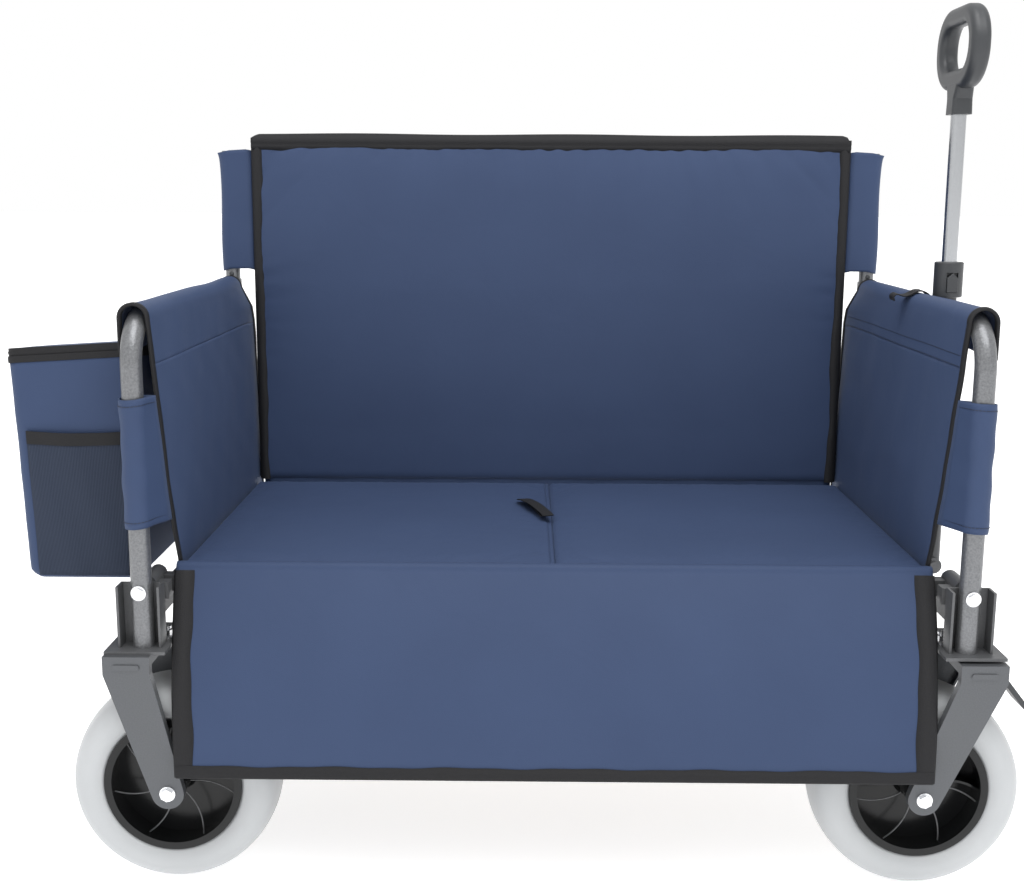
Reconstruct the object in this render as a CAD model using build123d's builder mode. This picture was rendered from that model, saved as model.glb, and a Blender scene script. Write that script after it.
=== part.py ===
"""Beach cart that opens into a two-seat sofa.

Two steel end hoops stand on four balloon wheels. A seat in two halves, hinged in the middle, joins them, and
a backrest in two halves stands on posts that telescope in the rear uprights. An apron hangs from the seat's
front edge, a storage bag from the left hoop, and a pull handle tilts and telescopes on the right end.

Frame: millimetres, +Z up, +X towards the pull handle, -Y towards a sitter's feet, origin on the floor under
the middle of the whole cart. Below, side is -1 for the bag end and +1 for the handle end, and row is -1 for
the front and +1 for the rear.
"""
from build123d import *
import math
import os

# ------------------------------------------------------------------ driving dimensions
MID = 47                    # x of the cart's own middle plane; the bag makes the left end longer

WHEEL_R = 127               # ten-inch balloon wheel
TYRE_W = 92
RIM_R = 84
AXLE_X = {-1: 464, 1: 445}  # from the middle plane; the handle end's wheels trail their kingpins
WHEEL_Y = 245
AXLE_R = 5
HUB_HALF = 48

SWIVEL_X = 507              # fork top, and kingpin of the handle-end forks
FORK_TOP = 296
FORK_W = 56                 # along the cart, at the top
FORK_ARM = 65               # wheel's mid plane to the arm's outer face
FORK_WALL = 3
KINGPIN_R = 6

LEG_X, LEG_Y = 493, 278     # hoop legs, and the axes of the folding end pivots
TUBE_R, TUBE_WALL = 12.7, 1.6
BAR_R = 12.5                # the bent tube, a little slimmer than the upright that it is welded to
BORE_R = 11.5               # rear upright, in which the back post slides
PLATE_Z = 299               # underside of the corner plate
PLATE_T = 4
BAR_Z = 695                 # top bar's centre line
BEND_R = 55
UPRIGHT_TOP = 708

PIVOT_Z = 372               # seat frame's end pivots
FOLD_DROP = 20              # the middle hinge lies this far under, and in front of, the end pivots
RAIL_Y = (203, 221)
EYE_Y = 254                 # pivot eyes reach out from the rails to the corner brackets
RAIL_Z = (354, 374)
SEAT_HALF, SEAT_FRONT, SEAT_REAR, SEAT_TOP = 460, -218, 257, 390
BOARD_T = 6

BACK_FRONT = LEG_Y - FOLD_DROP + 0.5
BACK_T = 23.5
BACK_HALF, BACK_LOW, BACK_TOP = 454, 392, 925
POST_R, POST_LOW, POST_TOP = 11, 560, 903
SLEEVE_Z = (722, 902)
SNAP_Z, SNAP_R = 716, 3.5

APRON_TOP, APRON_LOW = (-221.5, 384), (-327, 156)   # y, z of the two edges
APRON_HALF = (466, 449)                             # half widths there
APRON_BOW, APRON_T = 12, 4

ARM_FRONT, ARM_REAR = -262, 250
ARM_SEAM_Z = 640            # seam between the part over the bar and the side panel

BAG_X = (514, 659, 671)     # inner face, outer face at the foot and at the top, from the middle plane
BAG_Y = (-200, 190)
BAG_Z = (363, 664)          # foot, and the lid's highest corner: in front, next to the hoop
BAG_SLOPE = (0.062, 0.1026) # the lid's fall, outwards and to the rear
BAG_WALL, LID_T = 4, 17
POCKET_Z = (367, 550)

HANDLE_X, HANDLE_PIVOT_Z = 532, 335
OUTER_R, INNER_R = 12.5, 10
COLLAR_R, COLLAR_Z = 19, (706, 753)
INNER_LOW, GRIP_Z = 530, 945

os.makedirs("parts", exist_ok=True)


# ------------------------------------------------------------------ helpers
def save(piece, name):
    """Label a finished piece and write its STEP file."""
    piece.part.label = name
    export_step(piece.part, f"parts/{name}.step")


def block(x, y, z, mode=Mode.ADD):
    """A box between two values on each axis, in the part being built."""
    centre = tuple((low + high) / 2 for low, high in (x, y, z))
    size = [abs(high - low) for low, high in (x, y, z)]
    with Locations(centre):
        Box(*size, mode=mode)


def rod(start, end, radius, mode=Mode.ADD):
    """A round bar from one point to another, in the part being built."""
    run = Vector(*end) - Vector(*start)
    with BuildSketch(Plane(origin=start, z_dir=run)) as section:
        Circle(radius)
    extrude(section.sketch, amount=run.length, mode=mode)


def hexagon(start, end, radius):
    """A hexagonal head or nut from one point to another, in the part being built."""
    run = Vector(*end) - Vector(*start)
    with BuildSketch(Plane(origin=start, z_dir=run)) as section:
        RegularPolygon(radius, 6)
    extrude(section.sketch, amount=run.length)


def side_plane(y):
    """A drawing plane at y, with the cart's x and z as its own."""
    return Plane.XZ.offset(-y)


def across(side, *distances):
    """Distances from the middle plane, as x on one side, in rising order."""
    return sorted(MID + side * d for d in distances)


# ------------------------------------------------------------------ wheels
def tyre(x, y):
    """Balloon tyre: round shoulders, a nearly flat tread."""
    plane = Plane(origin=(x, y, WHEEL_R), x_dir=(0, 1, 0), z_dir=(1, 0, 0))
    seat, bulge, tread = 38, TYRE_W / 2, 30
    with BuildPart() as piece:
        with BuildSketch(plane):
            with BuildLine():
                Line((-seat, RIM_R), (seat, RIM_R))
                ThreePointArc((seat, RIM_R), (bulge, 104), (tread, WHEEL_R - 4))
                ThreePointArc((tread, WHEEL_R - 4), (0, WHEEL_R), (-tread, WHEEL_R - 4))
                ThreePointArc((-tread, WHEEL_R - 4), (-bulge, 104), (-seat, RIM_R))
            make_face()
        revolve(axis=Axis((x, y, WHEEL_R), (0, 1, 0)))
    return piece


def hub(x, y):
    """Moulded hub: barrel with lips, a web in the middle, curved ribs on both sides and a long boss."""
    plane = Plane(origin=(x, y, WHEEL_R), x_dir=(0, 1, 0), z_dir=(1, 0, 0))
    barrel_in, lip, lip_in, web = 78, 42, 75, 4
    with BuildPart() as piece:
        with BuildSketch(plane):
            with BuildLine():
                Polyline(
                    (-lip, RIM_R), (lip, RIM_R), (lip, lip_in), (lip - 4, barrel_in), (web, barrel_in),
                    (web, 22), (12, 17), (HUB_HALF, 17), (HUB_HALF, AXLE_R + 0.3),
                    (-HUB_HALF, AXLE_R + 0.3), (-HUB_HALF, 17), (-12, 17), (-web, 22),
                    (-web, barrel_in), (-lip + 4, barrel_in), (-lip, lip_in), close=True,
                )
            make_face()
        revolve(axis=Axis((x, y, WHEEL_R), (0, 1, 0)))
        with BuildSketch(Plane(origin=(x, y, WHEEL_R), x_dir=(1, 0, 0), z_dir=(0, 1, 0))):
            with PolarLocations(0, 7, start_angle=12):
                with BuildLine():
                    ThreePointArc((14, 0), (46, -7), (barrel_in + 1, 6))
                trace(line_width=3)
        extrude(amount=26, both=True)
        rod((x, y - HUB_HALF - 1, WHEEL_R), (x, y + HUB_HALF + 1, WHEEL_R), AXLE_R + 0.3, Mode.SUBTRACT)
    return piece


def axle_bolt(x, y, row):
    """Axle bolt with its head outwards, a lock nut inwards and the two spacer sleeves, in the part."""
    out, inner = y + row * FORK_ARM, y - row * FORK_ARM
    rod((x, inner - row * 9, WHEEL_R), (x, out + row * 1, WHEEL_R), AXLE_R)
    for sign in (-1, 1):
        rod((x, y + sign * (HUB_HALF + 0.4), WHEEL_R), (x, y + sign * (FORK_ARM - FORK_WALL), WHEEL_R), 9)
    rod((x, out, WHEEL_R), (x, out + row * 1.5, WHEEL_R), 9.5)
    hexagon((x, out + row * 1.5, WHEEL_R), (x, out + row * 6, WHEEL_R), 8)
    hexagon((x, inner, WHEEL_R), (x, inner - row * 7, WHEEL_R), 9)


# ------------------------------------------------------------------ forks
def arm_outline(top_x, axle_x, top_z, y, inset):
    """Side outline of a fork arm: a square shoulder that leans down to a round end at the axle."""
    half, shoulder, end_r = FORK_W / 2 - inset, top_z - 22, 19.5 - inset
    with BuildSketch(side_plane(y)) as outline:
        with Locations((axle_x, WHEEL_R)):
            Circle(end_r)
        with Locations((top_x, shoulder)):
            Rectangle(2 * half, 1)
        make_hull()
        with Locations((top_x, (shoulder + top_z) / 2)):
            Rectangle(2 * half, top_z - shoulder)
    return outline.sketch


def fork(side, row, top_z, swivels):
    """Pressed steel fork: channel-section arms with rolled edges, joined by a flanged top plate."""
    top_x, axle_x, y = MID + side * SWIVEL_X, MID + side * AXLE_X[side], row * WHEEL_Y
    depth, flange, bead_t = 11, 12, 1.5
    with BuildPart() as piece:
        for sign in (-1, 1):
            outer, inner = y + sign * FORK_ARM, y + sign * (FORK_ARM - depth)
            web, open_side = y + sign * (FORK_ARM - FORK_WALL), inner - sign * 1
            extrude(arm_outline(top_x, axle_x, top_z, max(outer, inner), 0), amount=depth)
            extrude(
                arm_outline(top_x, axle_x, top_z, max(web, open_side), FORK_WALL),
                amount=abs(web - open_side), mode=Mode.SUBTRACT,
            )
            with BuildSketch(side_plane(max(outer, outer + sign * bead_t))) as bead:
                with Locations((top_x, top_z - 13)):
                    SlotOverall(32, 7)
            extrude(bead.sketch, amount=bead_t)
        block(
            (top_x - FORK_W / 2, top_x + FORK_W / 2), (y - FORK_ARM, y + FORK_ARM), (top_z - flange, top_z)
        )
        block(
            (top_x - FORK_W / 2 + FORK_WALL, top_x + FORK_W / 2 - FORK_WALL),
            (y - FORK_ARM + FORK_WALL, y + FORK_ARM - FORK_WALL),
            (top_z - flange - 1, top_z - 4), Mode.SUBTRACT,
        )
        rod((axle_x, y - 80, WHEEL_R), (axle_x, y + 80, WHEEL_R), AXLE_R, Mode.SUBTRACT)
        if swivels:
            rod((top_x, y, top_z - 6), (top_x, y, top_z + 1), KINGPIN_R + 0.06, Mode.SUBTRACT)
    return piece


def brake_pedal(side, row):
    """Foot brake on a swivelling fork: cross bar, pedal that reaches out over the tyre, and its shoe."""
    top_x, y = MID + side * SWIVEL_X, row * WHEEL_Y
    pivot = (top_x + side * 18, FORK_TOP - 22)
    pedal = [(-2, 3.5), (16, 2), (52, -44), (47, -48), (13, -5), (-2, -3.5)]
    shoe = [(-5, 0), (5, 0), (1, -42.6), (-9, -35.5)]
    with BuildPart() as piece:
        rod((pivot[0], y - 61.5, pivot[1]), (pivot[0], y + 61.5, pivot[1]), 3.5)
        rod((pivot[0], y - 30, pivot[1]), (pivot[0], y + 30, pivot[1]), 6)
        for outline, half in ((pedal, 22), (shoe, 16)):
            with BuildSketch(side_plane(y + half)) as section:
                with BuildLine():
                    Polyline(*[(pivot[0] + side * px, pivot[1] + pz) for px, pz in outline], close=True)
                make_face()
            extrude(section.sketch, amount=2 * half)
    return piece


def kingpins(side):
    """The two kingpins: thrust washer under the corner plate, head under the fork top, nut above."""
    x = MID + side * SWIVEL_X
    with BuildPart() as piece:
        for row in (-1, 1):
            y = row * WHEEL_Y
            rod((x, y, FORK_TOP - 13), (x, y, PLATE_Z + PLATE_T + 10), KINGPIN_R)
            rod((x, y, FORK_TOP - 12), (x, y, FORK_TOP - 4.3), 11)
            rod((x, y, FORK_TOP + 0.3), (x, y, PLATE_Z), 20)
            hexagon((x, y, PLATE_Z + PLATE_T), (x, y, PLATE_Z + PLATE_T + 8), 9.5)
    return piece


# ------------------------------------------------------------------ end frames
def hoop(side):
    """One bent tube for the front leg and top bar, welded to a straight rear upright with an open bore."""
    x = MID + side * LEG_X
    foot = PLATE_Z + PLATE_T
    with BuildPart() as piece:
        with BuildLine() as path:
            FilletPolyline((x, -LEG_Y, foot), (x, -LEG_Y, BAR_Z), (x, LEG_Y, BAR_Z), radius=BEND_R)
        with BuildSketch(Plane(origin=(x, -LEG_Y, foot), z_dir=(0, 0, 1))):
            Circle(BAR_R)
        sweep(path=path.line)
        rod((x, LEG_Y, foot), (x, LEG_Y, UPRIGHT_TOP), TUBE_R)
        with BuildLine() as core:
            FilletPolyline(
                (x, -LEG_Y, foot), (x, -LEG_Y, BAR_Z), (x, LEG_Y - TUBE_R - 2, BAR_Z), radius=BEND_R
            )
        with BuildSketch(Plane(origin=(x, -LEG_Y, foot), z_dir=(0, 0, 1))):
            Circle(BAR_R - TUBE_WALL)
        sweep(path=core.line, mode=Mode.SUBTRACT)
        rod((x, LEG_Y, foot - 1), (x, LEG_Y, UPRIGHT_TOP + 1), BORE_R, Mode.SUBTRACT)
        for row in (-1, 1):
            y = row * LEG_Y
            rod((x, y - 20, PIVOT_Z), (x, y + 20, PIVOT_Z), AXLE_R, Mode.SUBTRACT)
    return piece


def corner_brackets(side):
    """Folded channels that hold the feet of the hoop, each on the plate that carries a fork."""
    middle, half, wall = LEG_X + 3, 26, 3
    low, high = PLATE_Z + PLATE_T, 378
    back = LEG_Y - TUBE_R
    with BuildPart() as piece:
        for row in (-1, 1):
            web = sorted((row * back, row * (back - wall)))
            flange = sorted((row * (back - wall), row * (LEG_Y + 9)))
            block(across(side, middle - half, middle + half), web, (low, high))
            for edge in (middle - half, middle + half - wall):
                block(across(side, edge, edge + wall), flange, (low, high))
            block(across(side, 462, 535), sorted((row * 190, row * 302)), (PLATE_Z, PLATE_Z + PLATE_T))
            x = MID + side * LEG_X
            rod((x, row * (back + 2), PIVOT_Z), (x, row * (back - 5), PIVOT_Z), AXLE_R, Mode.SUBTRACT)
            if side > 0:
                pin = (MID + SWIVEL_X, row * WHEEL_Y)
                rod((*pin, PLATE_Z - 1), (*pin, PLATE_Z + PLATE_T + 1), KINGPIN_R, Mode.SUBTRACT)
    return piece


def crossbar(side):
    """Square tube between the front and rear corner brackets."""
    reach, low = LEG_Y - TUBE_R - 3, 322
    x = across(side, 486, 506)
    with BuildPart() as piece:
        block(x, (-reach, reach), (low, low + 20))
        block((x[0] + 1.5, x[1] - 1.5), (-reach - 1, reach + 1), (low + 1.5, low + 18.5), Mode.SUBTRACT)
    return piece


def frame_bolts(side):
    """Pivot bolts through the hoop's legs, and the bolts that hold the corner plates."""
    x = MID + side * LEG_X
    top = PLATE_Z + PLATE_T
    with BuildPart() as piece:
        for row in (-1, 1):
            outer, inner = row * (LEG_Y + TUBE_R), row * (RAIL_Y[0] - 0.4)
            rod((x, outer, PIVOT_Z), (x, inner - row * 7, PIVOT_Z), AXLE_R)
            rod((x, outer, PIVOT_Z), (x, outer + row * 2, PIVOT_Z), 9)
            hexagon((x, outer + row * 2, PIVOT_Z), (x, outer + row * 5, PIVOT_Z), 7)
            hexagon((x, inner, PIVOT_Z), (x, inner - row * 6, PIVOT_Z), 9)
            stud = (MID + side * 473, row * WHEEL_Y)
            rod((*stud, top), (*stud, top + 2), 10)
            hexagon((*stud, top + 2), (*stud, top + 10), 8)
            rod((*stud, top + 10), (*stud, top + 14), 4.5)
    return piece


# ------------------------------------------------------------------ folding seat
def seat_frame(side):
    """Two rails with pivot eyes, cross members, middle hinge lugs and short diagonal braces."""
    x_end, hinge_z = MID + side * LEG_X, PIVOT_Z - FOLD_DROP
    lug_y = (RAIL_Y[1] + 0.5, RAIL_Y[1] + 4.5) if side < 0 else (RAIL_Y[0] - 4.5, RAIL_Y[0] - 0.5)
    pad_y = (RAIL_Y[1] - 0.5, RAIL_Y[1] + 2) if side < 0 else (RAIL_Y[0] - 2, RAIL_Y[0] + 0.5)
    pin_hole = 4 if side < 0 else 4.06
    with BuildPart() as piece:
        for row in (-1, 1):
            y = sorted((row * RAIL_Y[0], row * RAIL_Y[1]))
            block(across(side, 1.5, 490), y, RAIL_Z)
            rod((x_end, row * RAIL_Y[0], PIVOT_Z), (x_end, row * EYE_Y, PIVOT_Z), 11)
            block(across(side, 468, 501), sorted((row * (EYE_Y - 18), row * EYE_Y)), RAIL_Z)
            lug = sorted((row * lug_y[0], row * lug_y[1]))
            with BuildSketch(side_plane(lug[1])) as outline:
                with Locations((MID, hinge_z)):
                    Circle(9)
                with Locations((MID + side * 40, (RAIL_Z[0] + RAIL_Z[1]) / 2)):
                    Rectangle(40, 16)
                make_hull()
            extrude(outline.sketch, amount=lug[1] - lug[0])
            block(across(side, 20, 60), sorted((row * pad_y[0], row * pad_y[1])), (356, 372))
            with BuildSketch(side_plane(row * 198 + 2)) as brace:
                with BuildLine():
                    Polyline(*[
                        (MID + side * px, pz)
                        for px, pz in ((330, 358), (352, 358), (466, 322), (462, 308), (448, 312))
                    ], close=True)
                make_face()
            extrude(brace.sketch, amount=4)
        for x in (40, 240, 341, 440):
            block(across(side, x - 10, x + 10), (-RAIL_Y[0] - 1, RAIL_Y[0] + 1), (356, 372))
        for row in (-1, 1):
            y = sorted((row * (RAIL_Y[0] - 8), row * (EYE_Y + 8)))
            rod((x_end, y[0], PIVOT_Z), (x_end, y[1], PIVOT_Z), AXLE_R + 0.06, Mode.SUBTRACT)
            rod((MID, y[0], hinge_z), (MID, y[1], hinge_z), pin_hole, Mode.SUBTRACT)
    return piece


def seat_hinge_pins():
    """Two short pins of the middle hinge, with heads outside the lugs."""
    hinge_z = PIVOT_Z - FOLD_DROP
    with BuildPart() as piece:
        for row in (-1, 1):
            outer, inner = row * (RAIL_Y[1] + 4.5), row * (RAIL_Y[0] - 6)
            rod((MID, outer, hinge_z), (MID, inner, hinge_z), 4)
            rod((MID, outer, hinge_z), (MID, outer + row * 1.5, hinge_z), 6.5)
    return piece


def seat_board(side):
    """Stiff board in the seat half."""
    with BuildPart() as piece:
        block(across(side, 2, SEAT_HALF - 3), (SEAT_FRONT + 4, SEAT_REAR - 5), (RAIL_Z[1], RAIL_Z[1] + BOARD_T))
    return piece


def seat_cushion(side):
    """Padded cover that wraps the board's top and edges."""
    with BuildPart() as piece:
        block(across(side, 0.5, SEAT_HALF), (SEAT_FRONT, SEAT_REAR), (RAIL_Z[1] + 0.5, SEAT_TOP))
        fillet(piece.faces().sort_by(Axis.Z)[-1].edges(), radius=4)
        block(
            across(side, 2, SEAT_HALF - 3), (SEAT_FRONT + 4, SEAT_REAR - 5),
            (RAIL_Z[1] - 1, RAIL_Z[1] + BOARD_T), Mode.SUBTRACT,
        )
    return piece


def pull_strap():
    """Webbing loop in the middle of the seat: pulling it up folds the cart."""
    with BuildPart() as piece:
        with BuildSketch(Plane.YZ.offset(MID - 28)):
            with BuildLine():
                Polyline((-6, SEAT_TOP + 2.4), (20, SEAT_TOP + 8), (70, SEAT_TOP + 13), (112, SEAT_TOP + 7))
            trace(line_width=3)
        extrude(amount=25)
    return piece


# ------------------------------------------------------------------ backrest
def back_post(side):
    """Tube that telescopes in the rear upright, with the hole of its snap button."""
    x = MID + side * LEG_X
    with BuildPart() as piece:
        rod((x, LEG_Y, POST_LOW), (x, LEG_Y, POST_TOP), POST_R)
        rod((x, LEG_Y, POST_LOW - 1), (x, LEG_Y, POST_TOP - 2), POST_R - 1.5, Mode.SUBTRACT)
        rod((x, LEG_Y - 14, SNAP_Z), (x, LEG_Y, SNAP_Z), SNAP_R + 0.1, Mode.SUBTRACT)
    return piece


def post_button(side):
    """Domed snap button that locks the back post above the upright's rim."""
    x = MID + side * LEG_X
    with BuildPart() as piece:
        rod((x, LEG_Y - POST_R - 3.5, SNAP_Z), (x, LEG_Y - 3, SNAP_Z), SNAP_R)
        fillet(piece.faces().sort_by(Axis.Y)[0].edges(), radius=2)
    return piece


def back_panel(side):
    """Padded half of the backrest, with its stiff board sewn in."""
    with BuildPart() as piece:
        block(across(side, 0.5, BACK_HALF), (BACK_FRONT, BACK_FRONT + BACK_T), (BACK_LOW, BACK_TOP))
        fillet(piece.edges().filter_by(Axis.X), radius=5)
    return piece


def back_sleeve(side):
    """Fabric sleeve round the post, with the web that joins it to the backrest."""
    x = MID + side * LEG_X
    with BuildPart() as piece:
        rod((x, LEG_Y, SLEEVE_Z[0]), (x, LEG_Y, SLEEVE_Z[1]), POST_R + 2.8)
        block(across(side, BACK_HALF + 0.2, LEG_X - 10), (LEG_Y - 11, LEG_Y - 8), SLEEVE_Z)
        rod((x, LEG_Y, SLEEVE_Z[0] - 1), (x, LEG_Y, SLEEVE_Z[1] + 1), POST_R + 0.5, Mode.SUBTRACT)
    return piece


# ------------------------------------------------------------------ fabric
def apron():
    """Front apron with a stiffener, bowed forwards over the wheels and narrower at its foot."""
    (y0, z0), (y1, z1) = APRON_TOP, APRON_LOW
    chord = math.hypot(y1 - y0, z1 - z0)
    bow = (
        (y0 + y1) / 2 + APRON_BOW * (z1 - z0) / chord,
        (z0 + z1) / 2 - APRON_BOW * (y1 - y0) / chord,
    )
    top, foot = APRON_HALF
    with BuildPart() as piece:
        with BuildSketch(Plane.YZ.offset(MID)):
            with BuildLine():
                ThreePointArc(APRON_TOP, bow, APRON_LOW)
            trace(line_width=APRON_T)
        extrude(amount=top, both=True)
        for side in (-1, 1):
            with BuildSketch(side_plane(-150)) as trim:
                with BuildLine():
                    Polyline(
                        (MID + side * top, z0 + 5), (MID + side * foot, z1 - 10),
                        (MID + side * (top + 20), z1 - 10), (MID + side * (top + 20), z0 + 5), close=True,
                    )
                make_face()
            extrude(trim.sketch, amount=220, mode=Mode.SUBTRACT)
    return piece


def arm_cover(side):
    """Fabric folded over the top bar, hanging down on both sides of it."""
    x = MID + side * LEG_X
    inner_r, wall = TUBE_R + 0.4, 2.5
    outer_r = inner_r + wall
    with BuildPart() as piece:
        with BuildSketch(side_plane(ARM_REAR)):
            with Locations((x, BAR_Z)):
                Circle(outer_r)
            with Locations((x, (BAR_Z + ARM_SEAM_Z) / 2)):
                Rectangle(2 * outer_r, BAR_Z - ARM_SEAM_Z)
            with Locations((x, BAR_Z)):
                Circle(inner_r, mode=Mode.SUBTRACT)
            with Locations((x, (BAR_Z + ARM_SEAM_Z) / 2 - 1)):
                Rectangle(2 * inner_r, BAR_Z - ARM_SEAM_Z + 2, mode=Mode.SUBTRACT)
        extrude(amount=ARM_REAR - ARM_FRONT)
    return piece


def arm_panel(side):
    """Fabric side panel from the seam under the bar to the seat's edge, with a leaning front edge."""
    high, low = ARM_SEAM_Z - 0.3, SEAT_TOP + 2
    outline = [(478, high), (474, high), (457, low), (461, low)]
    with BuildPart() as piece:
        with BuildSketch(side_plane(ARM_REAR)):
            with BuildLine():
                Polyline(*[(MID + side * px, pz) for px, pz in outline], close=True)
            make_face()
        extrude(amount=ARM_REAR - ARM_FRONT)
        with BuildSketch(Plane.YZ.offset(MID + side * 430)) as trim:
            with BuildLine():
                Polyline(
                    (ARM_FRONT - 5, high + 5), (ARM_FRONT + 8, high + 5), (SEAT_FRONT + 8, low - 5),
                    (ARM_FRONT - 5, low - 5), close=True,
                )
            make_face()
        extrude(trim.sketch, amount=side * 70, mode=Mode.SUBTRACT)
    return piece


def leg_loop(side):
    """Fabric sleeve round the front leg, with the tab that runs back to the side panel."""
    x = MID + side * LEG_X
    low, high = 450, 604
    tab = [(485, -288), (470, -262), (467, -263.5), (482, -292)]
    with BuildPart() as piece:
        rod((x, -LEG_Y, low), (x, -LEG_Y, high), TUBE_R + 2.4)
        with BuildSketch(Plane.XY.offset(low)):
            with BuildLine():
                Polyline(*[(MID + side * px, py) for px, py in tab], close=True)
            make_face()
        extrude(amount=high - low)
        rod((x, -LEG_Y, low - 1), (x, -LEG_Y, high + 1), TUBE_R + 0.3, Mode.SUBTRACT)
    return piece


# ------------------------------------------------------------------ storage bag
def lid_plane(depth):
    """Plane of the lid's top, moved down by depth, with its origin at the lid's inner front corner."""
    out, rear = BAG_SLOPE
    origin = (MID - BAG_X[0], BAG_Y[0], BAG_Z[1] - depth)
    return Plane(origin=origin, x_dir=(1, 0, out), z_dir=(-out, rear, 1))


def lid_slab(depth, height, inset):
    """The bag's plan drawn on a plane depth under the lid's top, and thickened upwards."""
    width = (BAG_X[2] - BAG_X[0]) * math.hypot(1, BAG_SLOPE[0])
    length = (BAG_Y[1] - BAG_Y[0]) * math.hypot(1, BAG_SLOPE[1])
    with BuildSketch(lid_plane(depth)) as plan:
        with Locations((-width / 2, length / 2)):
            RectangleRounded(width - 2 * inset, length - 2 * inset, 14)
    extrude(plan.sketch, amount=height)


def bag_outline(inset):
    """Cross profile of the bag, drawn in the xz plane and well above its rim."""
    x = [MID - BAG_X[0] - inset, MID - BAG_X[2] + inset, MID - BAG_X[1] + inset]
    with BuildSketch(side_plane(BAG_Y[1] - inset)) as outline:
        with BuildLine():
            Polyline((x[0], BAG_Z[0] + inset), (x[0], 700), (x[1], 700), (x[2], BAG_Z[0] + inset), close=True)
        make_face()
    return outline.sketch


def bag_body():
    """Open-topped insulated bag with upright rounded corners, its rim cut to the lid's slope."""
    length = BAG_Y[1] - BAG_Y[0]
    with BuildPart() as piece:
        extrude(bag_outline(0), amount=length)
        corners = [e for e in piece.edges() if abs((e @ 1 - e @ 0).Z) > 200]
        fillet(corners, radius=14)
        extrude(bag_outline(BAG_WALL), amount=length - 2 * BAG_WALL, mode=Mode.SUBTRACT)
        with BuildSketch(lid_plane(LID_T + 0.4)) as above:
            Rectangle(900, 1500)
        extrude(above.sketch, amount=200, mode=Mode.SUBTRACT)
    return piece


def bag_lid():
    """Padded lid that turns up about the edge beside the hoop."""
    with BuildPart() as piece:
        lid_slab(LID_T, LID_T, 0)
    return piece


def bag_pockets():
    """Flat pockets on the bag's leaning outer face and on its front face."""
    (low, high), (bottom, top) = POCKET_Z, BAG_X[1:]
    end = high - 15
    face = {z: MID - bottom - (top - bottom) * (z - BAG_Z[0]) / (700 - BAG_Z[0]) for z in (low, end)}
    with BuildPart() as piece:
        with BuildSketch(side_plane(BAG_Y[1] - 22)):
            with BuildLine():
                Polyline((face[low], low), (face[low] - 6, low), (face[end] - 6, end), (face[end], end), close=True)
            make_face()
        extrude(amount=BAG_Y[1] - BAG_Y[0] - 44)
        block((face[low] + 16, MID - BAG_X[0] - 15), (BAG_Y[0] - 6, BAG_Y[0]), (low, high))
    return piece


def bag_straps():
    """Two webbing hangers from the bag's inner face over the covered top bar."""
    x = MID - LEG_X
    inner_r = TUBE_R + 3.2
    with BuildPart() as piece:
        for y in (-110, 120):
            with BuildSketch(side_plane(y + 12.5)) as band:
                with Locations((x, BAR_Z)):
                    Circle(inner_r + 1.6)
                with Locations((x - inner_r - 0.8, (600 + BAR_Z) / 2)):
                    Rectangle(1.6, BAR_Z - 600)
                with Locations((x, BAR_Z)):
                    Circle(inner_r, mode=Mode.SUBTRACT)
                with Locations((x + 1, BAR_Z - 50)):
                    Rectangle(2 * inner_r + 2, 100, mode=Mode.SUBTRACT)
            extrude(band.sketch, amount=25)
            block((MID - BAG_X[0], x - inner_r - 0.8), (y - 12.5, y + 12.5), (600, 612))
    return piece


# ------------------------------------------------------------------ pull handle
def handle_bracket():
    """Two-eared bracket on the crossbar, with the pin on which the handle tilts."""
    base = MID + 506
    x = MID + HANDLE_X
    with BuildPart() as piece:
        block((base, base + 4), (-17.5, 17.5), (320, 352))
        for sign in (-1, 1):
            y = sorted((sign * 13.5, sign * 17.5))
            block((base, x), y, (324, 346))
            rod((x, y[0], HANDLE_PIVOT_Z), (x, y[1], HANDLE_PIVOT_Z), 11)
        rod((x, -20.5, HANDLE_PIVOT_Z), (x, 20.5, HANDLE_PIVOT_Z), 4)
        for sign in (-1, 1):
            rod((x, sign * 17.5, HANDLE_PIVOT_Z), (x, sign * 20.5, HANDLE_PIVOT_Z), 6.5)
    return piece


def handle_outer_tube():
    """Lower handle tube, pinned at its foot."""
    x = MID + HANDLE_X
    with BuildPart() as piece:
        rod((x, 0, 324), (x, 0, COLLAR_Z[0]), OUTER_R)
        rod((x, 0, 323), (x, 0, COLLAR_Z[0] + 1), INNER_R + 0.4, Mode.SUBTRACT)
        rod((x, -20, HANDLE_PIVOT_Z), (x, 20, HANDLE_PIVOT_Z), 4.06, Mode.SUBTRACT)
    return piece


def handle_collar():
    """Moulded lock collar on top of the lower tube, with the pocket of its button."""
    x = MID + HANDLE_X
    with BuildPart() as piece:
        rod((x, 0, COLLAR_Z[0]), (x, 0, COLLAR_Z[1]), COLLAR_R)
        fillet(piece.edges().filter_by(GeomType.CIRCLE), radius=2)
        rod((x, 0, COLLAR_Z[0] - 1), (x, 0, COLLAR_Z[1] + 1), INNER_R + 0.4, Mode.SUBTRACT)
        with BuildSketch(side_plane(-COLLAR_R + 6)) as pocket:
            with Locations((x, 726)):
                Rectangle(15.4, 26.4)
        extrude(pocket.sketch, amount=12, mode=Mode.SUBTRACT)
    return piece


def handle_button():
    """Push button of the lock, house-shaped, which moves in towards the tube."""
    x = MID + HANDLE_X
    face, root = -COLLAR_R - 0.8, -COLLAR_R + 3.3
    with BuildPart() as piece:
        with BuildSketch(side_plane(root)):
            with BuildLine():
                Polyline((x - 7.2, 713.3), (x + 7.2, 713.3), (x + 7.2, 732), (x, 738.7), (x - 7.2, 732), close=True)
            make_face()
        extrude(amount=root - face)
        fillet(piece.faces().sort_by(Axis.Y)[0].edges(), radius=0.8)
    return piece


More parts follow.
